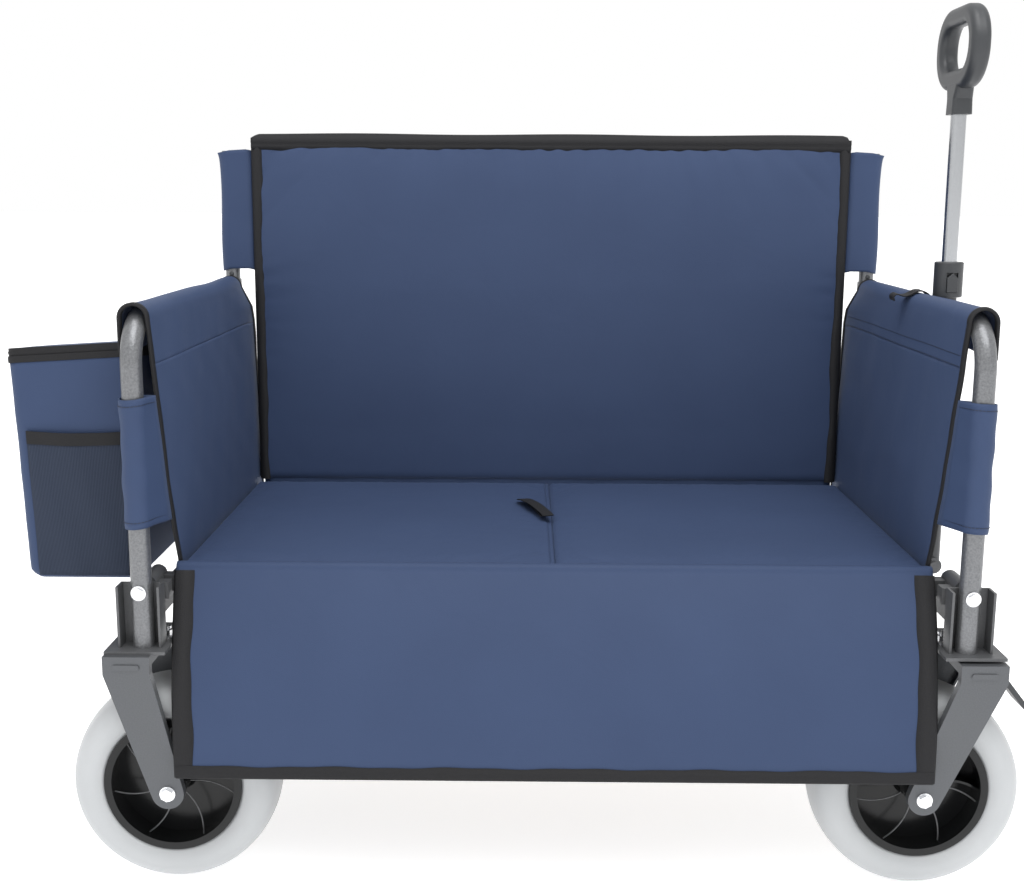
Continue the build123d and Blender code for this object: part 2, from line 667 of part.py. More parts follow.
def handle_inner_tube():
    """Bright upper tube, which telescopes through the collar."""
    x = MID + HANDLE_X
    with BuildPart() as piece:
        rod((x, 0, INNER_LOW), (x, 0, GRIP_Z + 20), INNER_R)
        rod((x, 0, INNER_LOW - 1), (x, 0, GRIP_Z + 21), INNER_R - 1.5, Mode.SUBTRACT)
    return piece


def handle_grip():
    """Moulded D grip: flat socket on the inner tube, tapering shoulders and a thick ring."""
    x = MID + HANDLE_X
    ring_low, ring_top, half = 977, 1082, 77
    with BuildPart() as piece:
        with BuildSketch(Plane.YZ.offset(x)):
            with Locations((0, (ring_low + ring_top) / 2)):
                RectangleRounded(2 * half, ring_top - ring_low, 50)
            with Locations((0, (ring_low + ring_top) / 2 + 1)):
                RectangleRounded(2 * half - 50, ring_top - ring_low - 50, 26, mode=Mode.SUBTRACT)
        extrude(amount=12.5, both=True)
        fillet(piece.edges(), radius=9)
        with BuildSketch(Plane.XY.offset(GRIP_Z)) as socket:
            with Locations((x, 0)):
                RectangleRounded(27, 34, 6)
        with BuildSketch(Plane.XY.offset(ring_low + 12)) as shoulder:
            with Locations((x, 0)):
                RectangleRounded(23, 56, 8)
        with BuildSketch(Plane.XY.offset(GRIP_Z + 20)) as neck:
            with Locations((x, 0)):
                RectangleRounded(26, 33, 6)
        loft([socket.sketch.faces()[0], neck.sketch.faces()[0]])
        loft([neck.sketch.faces()[0], shoulder.sketch.faces()[0]])
        rod((x, 0, GRIP_Z - 1), (x, 0, GRIP_Z + 20), INNER_R, Mode.SUBTRACT)
    return piece


def handle_strap():
    """Webbing keeper round the right arm, which holds the upright handle."""
    x = MID + LEG_X
    inner_r = TUBE_R + 3.2
    with BuildPart() as piece:
        with BuildSketch(side_plane(16)) as band:
            with Locations((x, BAR_Z)):
                Circle(inner_r + 1.8)
            with Locations((x, BAR_Z)):
                Circle(inner_r, mode=Mode.SUBTRACT)
            with Locations((x, BAR_Z - 20)):
                Rectangle(60, 40, mode=Mode.SUBTRACT)
        extrude(band.sketch, amount=32)
        block((x - 24, x - 10), (-13, 13), (BAR_Z + 13.5, BAR_Z + 19))
    return piece


# ------------------------------------------------------------------ make every piece
ENDS = (("left", -1), ("right", 1))
ROWS = (("front", -1), ("rear", 1))

for end, side in ENDS:
    for place, row in ROWS:
        wheel = (MID + side * AXLE_X[side], row * WHEEL_Y)
        save(tyre(*wheel), f"tyre_{place}_{end}")
        save(hub(*wheel), f"hub_{place}_{end}")
        top = FORK_TOP if side > 0 else PLATE_Z
        save(fork(side, row, top, side > 0), f"fork_{place}_{end}")
    save(hoop(side), f"hoop_{end}")
    save(corner_brackets(side), f"corner_brackets_{end}")
    save(crossbar(side), f"crossbar_{end}")
    save(frame_bolts(side), f"frame_bolts_{end}")
    save(seat_frame(side), f"seat_frame_{end}")
    save(seat_board(side), f"seat_board_{end}")
    save(seat_cushion(side), f"seat_cushion_{end}")
    save(back_post(side), f"back_post_{end}")
    save(post_button(side), f"post_button_{end}")
    save(back_panel(side), f"back_panel_{end}")
    save(back_sleeve(side), f"back_sleeve_{end}")
    save(arm_cover(side), f"arm_cover_{end}")
    save(arm_panel(side), f"arm_panel_{end}")
    save(leg_loop(side), f"leg_loop_{end}")

with BuildPart() as axle_bolts_left:
    for _, row in ROWS:
        axle_bolt(MID - AXLE_X[-1], row * WHEEL_Y, row)
save(axle_bolts_left, "axle_bolts_left")

for place, row in ROWS:
    with BuildPart() as axle_bolt_right:
        axle_bolt(MID + AXLE_X[1], row * WHEEL_Y, row)
    save(axle_bolt_right, f"axle_bolt_{place}_right")
    save(brake_pedal(1, row), f"brake_pedal_{place}")

save(kingpins(1), "kingpins")
save(seat_hinge_pins(), "seat_hinge_pins")
save(pull_strap(), "pull_strap")
save(apron(), "apron")
save(bag_body(), "bag_body")
save(bag_lid(), "bag_lid")
save(bag_pockets(), "bag_pockets")
save(bag_straps(), "bag_straps")
save(handle_bracket(), "handle_bracket")
save(handle_outer_tube(), "handle_outer_tube")
save(handle_collar(), "handle_collar")
save(handle_button(), "handle_button")
save(handle_inner_tube(), "handle_inner_tube")
save(handle_grip(), "handle_grip")
save(handle_strap(), "handle_strap")
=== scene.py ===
import math
import bpy
import numpy as np
from mathutils import Matrix, Vector


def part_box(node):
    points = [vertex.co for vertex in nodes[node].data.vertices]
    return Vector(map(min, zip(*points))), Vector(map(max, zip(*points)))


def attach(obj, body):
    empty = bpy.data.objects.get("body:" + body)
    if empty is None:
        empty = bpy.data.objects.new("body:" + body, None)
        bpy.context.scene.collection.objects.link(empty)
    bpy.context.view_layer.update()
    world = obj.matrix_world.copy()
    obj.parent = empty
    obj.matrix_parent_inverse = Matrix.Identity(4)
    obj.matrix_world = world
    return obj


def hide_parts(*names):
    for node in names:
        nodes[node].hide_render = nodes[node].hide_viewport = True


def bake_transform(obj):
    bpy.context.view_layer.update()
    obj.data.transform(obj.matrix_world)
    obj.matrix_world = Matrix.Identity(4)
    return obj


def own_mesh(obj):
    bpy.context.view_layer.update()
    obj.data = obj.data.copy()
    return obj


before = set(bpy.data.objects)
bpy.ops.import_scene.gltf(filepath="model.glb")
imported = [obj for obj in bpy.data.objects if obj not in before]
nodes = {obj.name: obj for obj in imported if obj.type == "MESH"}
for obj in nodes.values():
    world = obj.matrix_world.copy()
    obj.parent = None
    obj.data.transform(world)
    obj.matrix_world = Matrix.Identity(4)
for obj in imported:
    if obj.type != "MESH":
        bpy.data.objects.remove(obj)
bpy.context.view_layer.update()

# ---------------------------------------------------------------- camera, floor and light
# The cart stands on a pale floor in a white surround, lit by broad soft lamps, and is seen from the
# front, from a little over the armrests. The lens turns by half a degree to the handle's end.
middle_x = (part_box("hoop_left")[0].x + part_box("hoop_right")[1].x) / 2

camera = bpy.data.objects.new("camera", bpy.data.cameras.new("camera"))
bpy.context.scene.collection.objects.link(camera)
aim = Matrix.Rotation(math.radians(0.48), 3, "Z")
aim @= Matrix.Rotation(math.radians(90 - 10.485), 3, "X")
aim @= Matrix.Rotation(math.radians(0.28), 3, "Z")
camera.matrix_world = Matrix.LocRotScale(Vector((middle_x - 0.039, -1.788, 0.836)), aim, None)
camera.data.sensor_width = 36
camera.data.lens = 46.3
bpy.context.scene.camera = camera
bpy.context.scene.view_settings.view_transform = "Standard"

world = bpy.data.worlds.new("studio")
bpy.context.scene.world = world
world.use_nodes = True
world.node_tree.nodes["Background"].inputs["Color"].default_value = (1, 1, 1, 1)
world.node_tree.nodes["Background"].inputs["Strength"].default_value = 1.0


def soft_lamp(name, place, target, size, watts):
    """A square area lamp that points from place to target."""
    data = bpy.data.lights.new(name, "AREA")
    data.size = size
    data.energy = watts
    lamp = bpy.data.objects.new(name, data)
    bpy.context.scene.collection.objects.link(lamp)
    lamp.location = place
    lamp.rotation_euler = (Vector(target) - Vector(place)).to_track_quat("-Z", "Y").to_euler()


soft_lamp("key_light", (1.2, -2.0, 2.9), (0, 0.2, 0.5), 1.4, 14)
soft_lamp("fill_light", (-2.2, -2.0, 2.0), (0, 0, 0.5), 1.6, 3)
soft_lamp("top_light", (0.1, -0.9, 3.0), (0, 0.2, 0.6), 2.0, 46)


def new_material(name, colour, roughness, metallic=0.0):
    """A Principled material; returns it with its node tree and shader."""
    material = bpy.data.materials.new(name)
    material.use_nodes = True
    shader = material.node_tree.nodes["Principled BSDF"]
    shader.inputs["Base Color"].default_value = (*colour, 1)
    shader.inputs["Roughness"].default_value = roughness
    shader.inputs["Metallic"].default_value = metallic
    return material, material.node_tree, shader


floor_material, tree, shader = new_material("studio_floor", (0.93, 0.93, 0.935), 0.8)
shader.inputs["Emission Color"].default_value = (1, 1, 1, 1)
shader.inputs["Emission Strength"].default_value = 0.55
bpy.ops.mesh.primitive_plane_add(size=120, location=(0, 0, 0))
floor = bpy.context.object
floor.name = "studio_floor"
floor.data.materials.append(floor_material)

# ---------------------------------------------------------------- tyres
# Blown grey PVC balloon tyres, a little cloudy and uneven, with a satin skin.


def texture(tree, kind, scale, coordinate="Object", **values):
    """A texture node fed by the piece's own coordinates."""
    place = tree.nodes.new("ShaderNodeTexCoord")
    node = tree.nodes.new(kind)
    tree.links.new(place.outputs[coordinate], node.inputs["Vector"])
    node.inputs["Scale"].default_value = scale
    for socket, value in values.items():
        node.inputs[socket].default_value = value
    return node


def spread(tree, source, low, high):
    """Maps a 0 to 1 value onto a range."""
    node = tree.nodes.new("ShaderNodeMapRange")
    node.inputs["To Min"].default_value = low
    node.inputs["To Max"].default_value = high
    tree.links.new(source, node.inputs["Value"])
    return node.outputs["Result"]


def tint(tree, shader, source, dark, light):
    """Colours a shader between two shades by a 0 to 1 value."""
    node = tree.nodes.new("ShaderNodeMix")
    node.data_type = "RGBA"
    node.inputs[6].default_value = (*dark, 1)
    node.inputs[7].default_value = (*light, 1)
    tree.links.new(source, node.inputs[0])
    tree.links.new(node.outputs[2], shader.inputs["Base Color"])


def bump(tree, shader, height, distance, strength=1.0, under=None):
    """Adds relief, on top of an earlier bump if there is one."""
    node = tree.nodes.new("ShaderNodeBump")
    node.inputs["Strength"].default_value = strength
    node.inputs["Distance"].default_value = distance
    tree.links.new(height, node.inputs["Height"])
    if under:
        tree.links.new(under, node.inputs["Normal"])
    tree.links.new(node.outputs["Normal"], shader.inputs["Normal"])
    return node.outputs["Normal"]


def finish_nodes(material, *starts):
    """Gives the CAD nodes whose names start so this material."""
    for name, node in nodes.items():
        if name.startswith(starts):
            node.data.materials.clear()
            node.data.materials.append(material)


grey_pvc, tree, shader = new_material("grey_pvc", (0.56, 0.58, 0.59), 0.42)
cloudy = texture(tree, "ShaderNodeTexNoise", 9, Detail=4).outputs["Fac"]
tint(tree, shader, cloudy, (0.37, 0.385, 0.395), (0.46, 0.47, 0.48))
waves = texture(tree, "ShaderNodeTexNoise", 16, Detail=1).outputs["Fac"]
relief = bump(tree, shader, waves, 0.004, 0.5)
grain = texture(tree, "ShaderNodeTexNoise", 900, Detail=2).outputs["Fac"]
bump(tree, shader, grain, 0.0002, 0.25, relief)
finish_nodes(grey_pvc, "tyre")

# ---------------------------------------------------------------- hubs
# Glossy black moulded hubs; dust and handling marks vary the gloss.
black_hub, tree, shader = new_material("black_hub", (0.007, 0.0075, 0.008), 0.3)
dusty = texture(tree, "ShaderNodeTexNoise", 26, Detail=5).outputs["Fac"]
tree.links.new(spread(tree, dusty, 0.14, 0.30), shader.inputs["Roughness"])
grain = texture(tree, "ShaderNodeTexNoise", 1400, Detail=2).outputs["Fac"]
bump(tree, shader, grain, 0.00008, 0.4)
shader.inputs["Specular IOR Level"].default_value = 0.3
finish_nodes(black_hub, "hub")

# Painted highlight: pale strips along the edges of each dish's seven ribs stand in for the light those
# edges catch, broken up by noise.
rib_highlight, tree, shader = new_material("rubbed_rib_edge", (0.10, 0.102, 0.106), 0.35)
highlight_breakup = texture(tree, "ShaderNodeTexNoise", 240, Detail=3).outputs["Fac"]
tint(tree, shader, highlight_breakup, (0.03, 0.031, 0.033), (0.16, 0.163, 0.17))


def rib_tree():
    """Node tree that turns one rib's edge into a ring of them round a wheel's centre."""
    group = bpy.data.node_groups.new("hub_rib_edges", "GeometryNodeTree")
    face = group.interface
    face.new_socket("Rib Line", in_out="INPUT", socket_type="NodeSocketGeometry")
    face.new_socket("Rib Count", in_out="INPUT", socket_type="NodeSocketInt")
    face.new_socket("Start Angle", in_out="INPUT", socket_type="NodeSocketFloat")
    face.new_socket("Edge Radius", in_out="INPUT", socket_type="NodeSocketFloat")
    face.new_socket("Wheel Centre", in_out="INPUT", socket_type="NodeSocketVector")
    face.new_socket("Rib Edges", in_out="OUTPUT", socket_type="NodeSocketGeometry")
    new = group.nodes.new
    link = group.links.new
    start = new("NodeGroupInput")
    curve = new("GeometryNodeMeshToCurve")
    section = new("GeometryNodeCurvePrimitiveCircle")
    section.inputs["Resolution"].default_value = 8
    edge = new("GeometryNodeCurveToMesh")
    edge.inputs["Fill Caps"].default_value = True
    spots = new("GeometryNodeMeshLine")
    spots.inputs["Offset"].default_value = (0, 0, 0)
    index = new("GeometryNodeInputIndex")
    share = new("ShaderNodeMath")
    share.operation = "DIVIDE"
    angle = new("ShaderNodeMath")
    angle.operation = "MULTIPLY_ADD"
    angle.inputs[1].default_value = 2 * math.pi
    about = new("ShaderNodeCombineXYZ")
    repeat = new("GeometryNodeInstanceOnPoints")
    place = new("GeometryNodeTransform")
    real = new("GeometryNodeRealizeInstances")
    paint = new("GeometryNodeSetMaterial")
    # The rib strips take the painted highlight material.
    paint.inputs["Material"].default_value = rib_highlight
    end = new("NodeGroupOutput")
    link(start.outputs["Rib Line"], curve.inputs["Mesh"])
    link(curve.outputs["Curve"], edge.inputs["Curve"])
    link(start.outputs["Edge Radius"], section.inputs["Radius"])
    link(section.outputs["Curve"], edge.inputs["Profile Curve"])
    link(start.outputs["Rib Count"], spots.inputs["Count"])
    link(index.outputs["Index"], share.inputs[0])
    link(start.outputs["Rib Count"], share.inputs[1])
    link(share.outputs[0], angle.inputs[0])
    link(start.outputs["Start Angle"], angle.inputs[2])
    link(angle.outputs[0], about.inputs["Y"])
    link(spots.outputs["Mesh"], repeat.inputs["Points"])
    link(edge.outputs["Mesh"], repeat.inputs["Instance"])
    link(about.outputs["Vector"], repeat.inputs["Rotation"])
    link(repeat.outputs["Instances"], place.inputs["Geometry"])
    link(start.outputs["Wheel Centre"], place.inputs["Translation"])
    link(place.outputs["Geometry"], real.inputs["Geometry"])
    link(real.outputs["Geometry"], paint.inputs["Geometry"])
    link(paint.outputs["Geometry"], end.inputs["Rib Edges"])
    return group


def bake(piece):
    """Applies the piece's modifiers to its mesh."""
    solid = bpy.data.meshes.new_from_object(piece.evaluated_get(bpy.context.evaluated_depsgraph_get()))
    piece.modifiers.clear()
    piece.data = solid


rib_group = rib_tree()
rib_half = 0.0262
for name in sorted(nodes):
    if not name.startswith("hub"):
        continue
    low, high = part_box(name)
    centre = (low + high) / 2
    for place, way in (("front", -1), ("rear", 1)):
        line = []
        for out in np.linspace(0.018, 0.0775, 14):
            bow = -0.007 + 0.0081 * ((out - 0.046) / 0.033) ** 2 + 0.0029 * (out - 0.046) / 0.033
            line.append((out, way * rib_half, -bow))
        mesh = bpy.data.meshes.new(f"{name}_rib_edges_{place}")
        mesh.from_pydata(line, [(i, i + 1) for i in range(13)], [])
        ribs = bpy.data.objects.new(mesh.name, mesh)
        bpy.context.scene.collection.objects.link(ribs)
        ring = ribs.modifiers.new("ribs", "NODES")
        ring.node_group = rib_group
        sockets = {item.name: item.identifier for item in rib_group.interface.items_tree}
        ring[sockets["Rib Count"]] = 7
        ring[sockets["Start Angle"]] = math.radians(12)
        ring[sockets["Edge Radius"]] = 0.0009
        ring[sockets["Wheel Centre"]] = tuple(centre)
        bake(ribs)
        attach(ribs, name.replace("hub", "wheel"))

# ---------------------------------------------------------------- steel tubes
# Hammer-finish powder coat: dark and light flecks over an orange-peel relief.
hammered, tree, shader = new_material("hammered_grey", (0.2, 0.2, 0.21), 0.34, 0.6)
speck = texture(tree, "ShaderNodeTexNoise", 420, Detail=3).outputs["Fac"]
tint(tree, shader, speck, (0.085, 0.088, 0.093), (0.25, 0.255, 0.265))
tree.links.new(spread(tree, speck, 0.26, 0.46), shader.inputs["Roughness"])
peel = texture(tree, "ShaderNodeTexVoronoi", 330).outputs["Distance"]
bump(tree, shader, peel, 0.0006, 0.35)
finish_nodes(hammered, "hoop", "back_post")

# ---------------------------------------------------------------- forks and brackets
# Pressed steel under a smoother satin powder coat, the small brackets darker than the forks.
pressed, tree, shader = new_material("pressed_grey", (0.19, 0.195, 0.2), 0.4, 0.35)
speck = texture(tree, "ShaderNodeTexNoise", 600, Detail=3).outputs["Fac"]
tint(tree, shader, speck, (0.070, 0.074, 0.081), (0.105, 0.11, 0.118))
bump(tree, shader, speck, 0.0003, 0.3)
finish_nodes(pressed, "fork")

bracket_grey, tree, shader = new_material("bracket_grey", (0.12, 0.123, 0.128), 0.45, 0.3)
speck = texture(tree, "ShaderNodeTexNoise", 600, Detail=3).outputs["Fac"]
tint(tree, shader, speck, (0.075, 0.077, 0.081), (0.12, 0.123, 0.128))
bump(tree, shader, speck, 0.0003, 0.3)
finish_nodes(bracket_grey, "corner_brackets", "crossbar", "seat_frame", "handle_bracket")

# ---------------------------------------------------------------- bolts
# Bright zinc, its gloss broken by a fine patina.
zinc, tree, shader = new_material("bright_zinc", (0.78, 0.79, 0.81), 0.28, 1.0)
patina = texture(tree, "ShaderNodeTexNoise", 260, Detail=4).outputs["Fac"]
tree.links.new(spread(tree, patina, 0.14, 0.40), shader.inputs["Roughness"])
finish_nodes(zinc, "frame_bolts", "axle_bolt", "kingpins", "seat_hinge_pins")

# ---------------------------------------------------------------- pull handle and plastics
# Fine-grained black mouldings, a dark lower tube and a bright plated upper tube.
plastic, tree, shader = new_material("black_plastic", (0.030, 0.032, 0.035), 0.42)
grain = texture(tree, "ShaderNodeTexNoise", 1500, Detail=2).outputs["Fac"]
tint(tree, shader, grain, (0.020, 0.022, 0.025), (0.042, 0.045, 0.049))
bump(tree, shader, grain, 0.00012, 0.5)
finish_nodes(plastic, "brake_pedal", "handle_collar", "handle_button", "handle_grip", "post_button")

plated, tree, shader = new_material("plated_tube", (0.42, 0.43, 0.445), 0.22, 1.0)
brushed = texture(tree, "ShaderNodeTexNoise", 300, Detail=3).outputs["Fac"]
tree.links.new(spread(tree, brushed, 0.14, 0.30), shader.inputs["Roughness"])
finish_nodes(plated, "handle_inner_tube")

dark_tube, tree, shader = new_material("dark_tube", (0.05, 0.052, 0.056), 0.35, 0.4)
finish_nodes(dark_tube, "handle_outer_tube")

# ---------------------------------------------------------------- seat boards
# Plain hardboard under the seat pads.
hardboard, tree, shader = new_material("hardboard", (0.35, 0.25, 0.16), 0.8)
fibres = texture(tree, "ShaderNodeTexNoise", 180, Detail=6).outputs["Fac"]
tint(tree, shader, fibres, (0.26, 0.18, 0.11), (0.42, 0.31, 0.2))
finish_nodes(hardboard, "seat_board")

# ---------------------------------------------------------------- seat pads
# Two blue oxford-cloth pads over the boards, blown up as cloth inside their sewn borders, so that they
# crown a little and pucker along the seams.
blue_oxford, tree, shader = new_material("blue_oxford", (0.06, 0.098, 0.19), 0.62)
dye = texture(tree, "ShaderNodeTexNoise", 7, Detail=5).outputs["Fac"]
tint(tree, shader, dye, (0.029, 0.047, 0.101), (0.037, 0.059, 0.123))
shader.inputs["Specular IOR Level"].default_value = 0.22
shader.inputs["Sheen Weight"].default_value = 0.07
shader.inputs["Sheen Roughness"].default_value = 0.45
shader.inputs["Sheen Tint"].default_value = (0.55, 0.68, 1.0, 1)
creases = texture(tree, "ShaderNodeTexNoise", 11, Detail=3, Distortion=0.8).outputs["Fac"]
relief = bump(tree, shader, creases, 0.005, 0.22)
threads = texture(tree, "ShaderNodeTexVoronoi", 1150).outputs["Distance"]
bump(tree, shader, threads, 0.0004, 0.3, relief)


def blown_pad(name, sources, voxel, pressure, cap, sewn, slim):
    """CAD pads remeshed finely and blown up as cloth; sewn(points) says which points stay put, and
    slim(points) where the pad hardly swells."""
    joined = bpy.data.meshes.new(name)
    corners = []
    faces = []
    for source in sources:
        data = nodes[source].data
        faces += [[len(corners) + i for i in face.vertices] for face in data.polygons]
        corners += [tuple(vertex.co) for vertex in data.vertices]
    joined.from_pydata(corners, [], faces)
    pad = bpy.data.objects.new(name, joined)
    bpy.context.scene.collection.objects.link(pad)
    remesh = pad.modifiers.new("remesh", "REMESH")
    remesh.mode = "VOXEL"
    remesh.voxel_size = voxel
    bake(pad)
    count = len(pad.data.vertices)
    rest = np.empty(count * 3)
    pad.data.vertices.foreach_get("co", rest)
    rest = rest.reshape(-1, 3)
    held = pad.vertex_groups.new(name="sewn")
    held.add(np.nonzero(sewn(rest))[0].tolist(), 1.0, "REPLACE")
    cloth = pad.modifiers.new("cloth", "CLOTH")
    cloth.settings.quality = 4
    cloth.settings.tension_stiffness = 12
    cloth.settings.compression_stiffness = 12
    cloth.settings.bending_stiffness = 0.3
    cloth.settings.use_pressure = True
    cloth.settings.uniform_pressure_force = pressure
    cloth.settings.vertex_group_mass = "sewn"
    cloth.settings.shrink_min = -0.007
    cloth.settings.effector_weights.gravity = 0
    for step in range(1, 21):
        bpy.context.scene.frame_set(step)
    bake(pad)
    bpy.context.scene.frame_set(1)
    blown = np.empty(count * 3)
    pad.data.vertices.foreach_get("co", blown)
    move = blown.reshape(-1, 3) - rest
    size = np.linalg.norm(move, axis=1, keepdims=True) + 1e-9
    move *= cap * np.tanh(size / cap) / size * (1 - 0.9 * slim(rest))[:, None]
    pad.data.vertices.foreach_set("co", (rest + move).ravel())
    pad.vertex_groups.clear()
    smooth = pad.modifiers.new("smooth", "SUBSURF")
    smooth.levels = 1
    smooth.render_levels = 1
    bake(pad)
    pad.data.shade_smooth()
    pad.data.materials.append(blue_oxford)
    return pad


for side in ("left", "right"):
    low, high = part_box(f"seat_cushion_{side}")

    def border(p):
        near = np.minimum(p[:, 0] - low.x, high.x - p[:, 0])
        near = np.minimum(near, np.minimum(p[:, 1] - low.y, high.y - p[:, 1]))
        return (near < 0.008) | (p[:, 2] < high.z - 0.006)

    def nowhere(p):
        return p[:, 0] * 0

    pad = blown_pad(f"seat_pad_{side}", [f"seat_cushion_{side}"], 0.006, 3.0, 0.006, border, nowhere)
    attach(pad, f"seat_{side}")
    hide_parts(f"seat_cushion_{side}")

# ---------------------------------------------------------------- backrest
# One pad across both halves, with black tape bound round its ends and a zipped gusset along the top.
black_tape, tree, shader = new_material("black_tape", (0.018, 0.018, 0.019), 0.7)
weave = texture(tree, "ShaderNodeTexNoise", 900, Detail=3).outputs["Fac"]
tint(tree, shader, weave, (0.008, 0.008, 0.009), (0.020, 0.020, 0.022))
ribs = texture(tree, "ShaderNodeTexVoronoi", 700).outputs["Distance"]
bump(tree, shader, ribs, 0.0005, 0.5)
shader.inputs["Specular IOR Level"].default_value = 0.25


def cloth_mesh(name, points, material, thickness=0.0, loop=False):
    """A surface through a grid of points, with a UV map in metres, thickened when asked."""
    points = np.asarray(points, float)
    rows, columns = points.shape[:2]
    strips = columns if loop else columns - 1
    faces = []
    places = []
    steps = np.linalg.norm(np.roll(points, -1, 1) - points, axis=2).mean(0)
    u = np.concatenate([[0], np.cumsum(steps)])
    v = np.concatenate([[0], np.cumsum(np.linalg.norm(np.diff(points, axis=0), axis=2).mean(1))])
    for i in range(rows - 1):
        for j in range(strips):
            k = (j + 1) % columns
            faces.append((i * columns + j, i * columns + k, (i + 1) * columns + k, (i + 1) * columns + j))
            places += [(u[j], v[i]), (u[j + 1], v[i]), (u[j + 1], v[i + 1]), (u[j], v[i + 1])]
    mesh = bpy.data.meshes.new(name)
    mesh.from_pydata(points.reshape(-1, 3).tolist(), [], faces)
    mesh.uv_layers.new(name="cloth").data.foreach_set("uv", np.asarray(places).ravel())
    mesh.shade_smooth()
    mesh.materials.append(material)
    piece = bpy.data.objects.new(name, mesh)
    bpy.context.scene.collection.objects.link(piece)
    if thickness:
        thicken = piece.modifiers.new("thickness", "SOLIDIFY")
        thicken.thickness = thickness
        thicken.offset = 0
        bake(piece)
    return piece


def ripple(a, b, seed, length, count=6):
    """Smooth uneven waves of about one wavelength, between -1 and 1, over metres a and b."""
    chance = np.random.default_rng(seed)
    total = 0
    for _ in range(count):
        angle = chance.uniform(0, math.pi)
        size = length * chance.uniform(0.7, 1.8)
        phase = chance.uniform(0, 6.3)
        total = total + np.sin(6.283 * (a * math.cos(angle) + b * math.sin(angle)) / size + phase)
    return total / count


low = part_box("back_panel_left")[0]
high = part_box("back_panel_right")[1]
front, rear = low.y, high.y


def border(p):
    near = np.minimum(p[:, 0] - low.x, high.x - p[:, 0])
    near = np.minimum(near, np.minimum(p[:, 2] - low.z, high.z - p[:, 2]))
    return near < 0.012


def beside_seat(p):
    """1 along the foot of the pad, which slides down behind the seat, falling to 0 above it."""
    return np.clip(1 - (p[:, 2] - low.z - 0.085) / 0.22, 0, 1) * (p[:, 1] < (front + rear) / 2)


panels = ["back_panel_left", "back_panel_right"]
backrest = blown_pad("backrest", panels, 0.0075, 2.5, 0.009, border, beside_seat)
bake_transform(backrest)
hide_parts("back_panel_left", "back_panel_right")

for side, edge, way in (("left", low.x, 1), ("right", high.x, -1)):
    z = np.linspace(low.z + 0.001, high.z - 0.004, 70)
    grid = []
    for height in z:
        wave = 0.0012 * math.sin(height * 37 + 1.3 * way) + 0.0006 * math.sin(height * 113)
        width = 0.0135 + 0.001 * math.sin(height * 23) + wave
        rear_w = 0.014
        ring = [
            (width, front - 0.0008), (width * 0.55, front - 0.0026),
            (0.003, front - 0.0012), (-0.0022, front + 0.004),
            (-0.0026, (front + rear) / 2), (-0.0022, rear - 0.004), (0.003, rear + 0.0012),
            (rear_w * 0.55, rear + 0.0026), (rear_w, rear + 0.0006),
            (rear_w, rear - 0.002), (0.004, rear - 0.003), (0.004, front + 0.003), (width, front + 0.001),
        ]
        grid.append([(edge + way * d, y, height) for d, y in ring])
    binding = cloth_mesh(f"backrest_binding_{side}", grid, black_tape, loop=True)
    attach(binding, f"back_{side}")

x = np.linspace(low.x - 0.001, high.x + 0.001, 180)
grid = []
for place in x:
    end = min(place - x[0], x[-1] - place)
    round_off = 1 - math.sqrt(max(0.0, 1 - (1 - min(1, end / 0.012)) ** 2))
    drop = 0.0205 + 0.0012 * math.sin(place * 31) + 0.0007 * math.sin(place * 88 + 1)
    top = high.z + 0.0032 + 0.0008 * math.sin(place * 19) - 0.009 * round_off
    ring = [
        (front - 0.0012, high.z - drop), (front - 0.0034, high.z - 0.014),
        (front - 0.0022, high.z - 0.0115),
        (front - 0.0040, high.z - 0.009), (front - 0.0026, high.z - 0.003), (front + 0.003, top),
        ((front + rear) / 2, top + 0.0012), (rear - 0.003, top), (rear + 0.0026, high.z - 0.003),
        (rear + 0.0026, high.z - 0.014), (rear + 0.0008, high.z - drop),
        (rear - 0.003, high.z - drop + 0.001), (rear - 0.004, high.z - 0.005),
        (front + 0.004, high.z - 0.005),
        (front + 0.002, high.z - drop + 0.001),
    ]
    grid.append([(place, y, height) for y, height in ring])
gusset = cloth_mesh("backrest_gusset", grid, black_tape, loop=True)
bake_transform(gusset)

# A strip of the same cloth hangs behind the seat and another closes the seam between its pads.
skirt_grid = []
for z in np.linspace(low.z + 0.006, low.z - 0.014, 6):
    row = []
    for place in np.linspace(low.x + 0.004, high.x - 0.004, 60):
        row.append((place, front + 0.006 + 0.0006 * math.sin(place * 60), z))
    skirt_grid.append(row)
skirt = cloth_mesh("backrest_skirt", np.array(skirt_grid), blue_oxford, thickness=0.0016)
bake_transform(skirt)
seat_low, seat_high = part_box("seat_cushion_left")
seam = []
for y in np.linspace(seat_low.y + 0.002, seat_high.y - 0.002, 40):
    row = []
    for over_seam, rise in ((-0.004, 0.0), (0.0, 0.0012), (0.0022, 0.0)):
        row.append((seat_high.x + over_seam, y, seat_high.z - 0.003 + rise))
    seam.append(row)
seam_strip = cloth_mesh("seat_seam", np.array(seam), blue_oxford, thickness=0.0012)
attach(seam_strip, "seat_left")

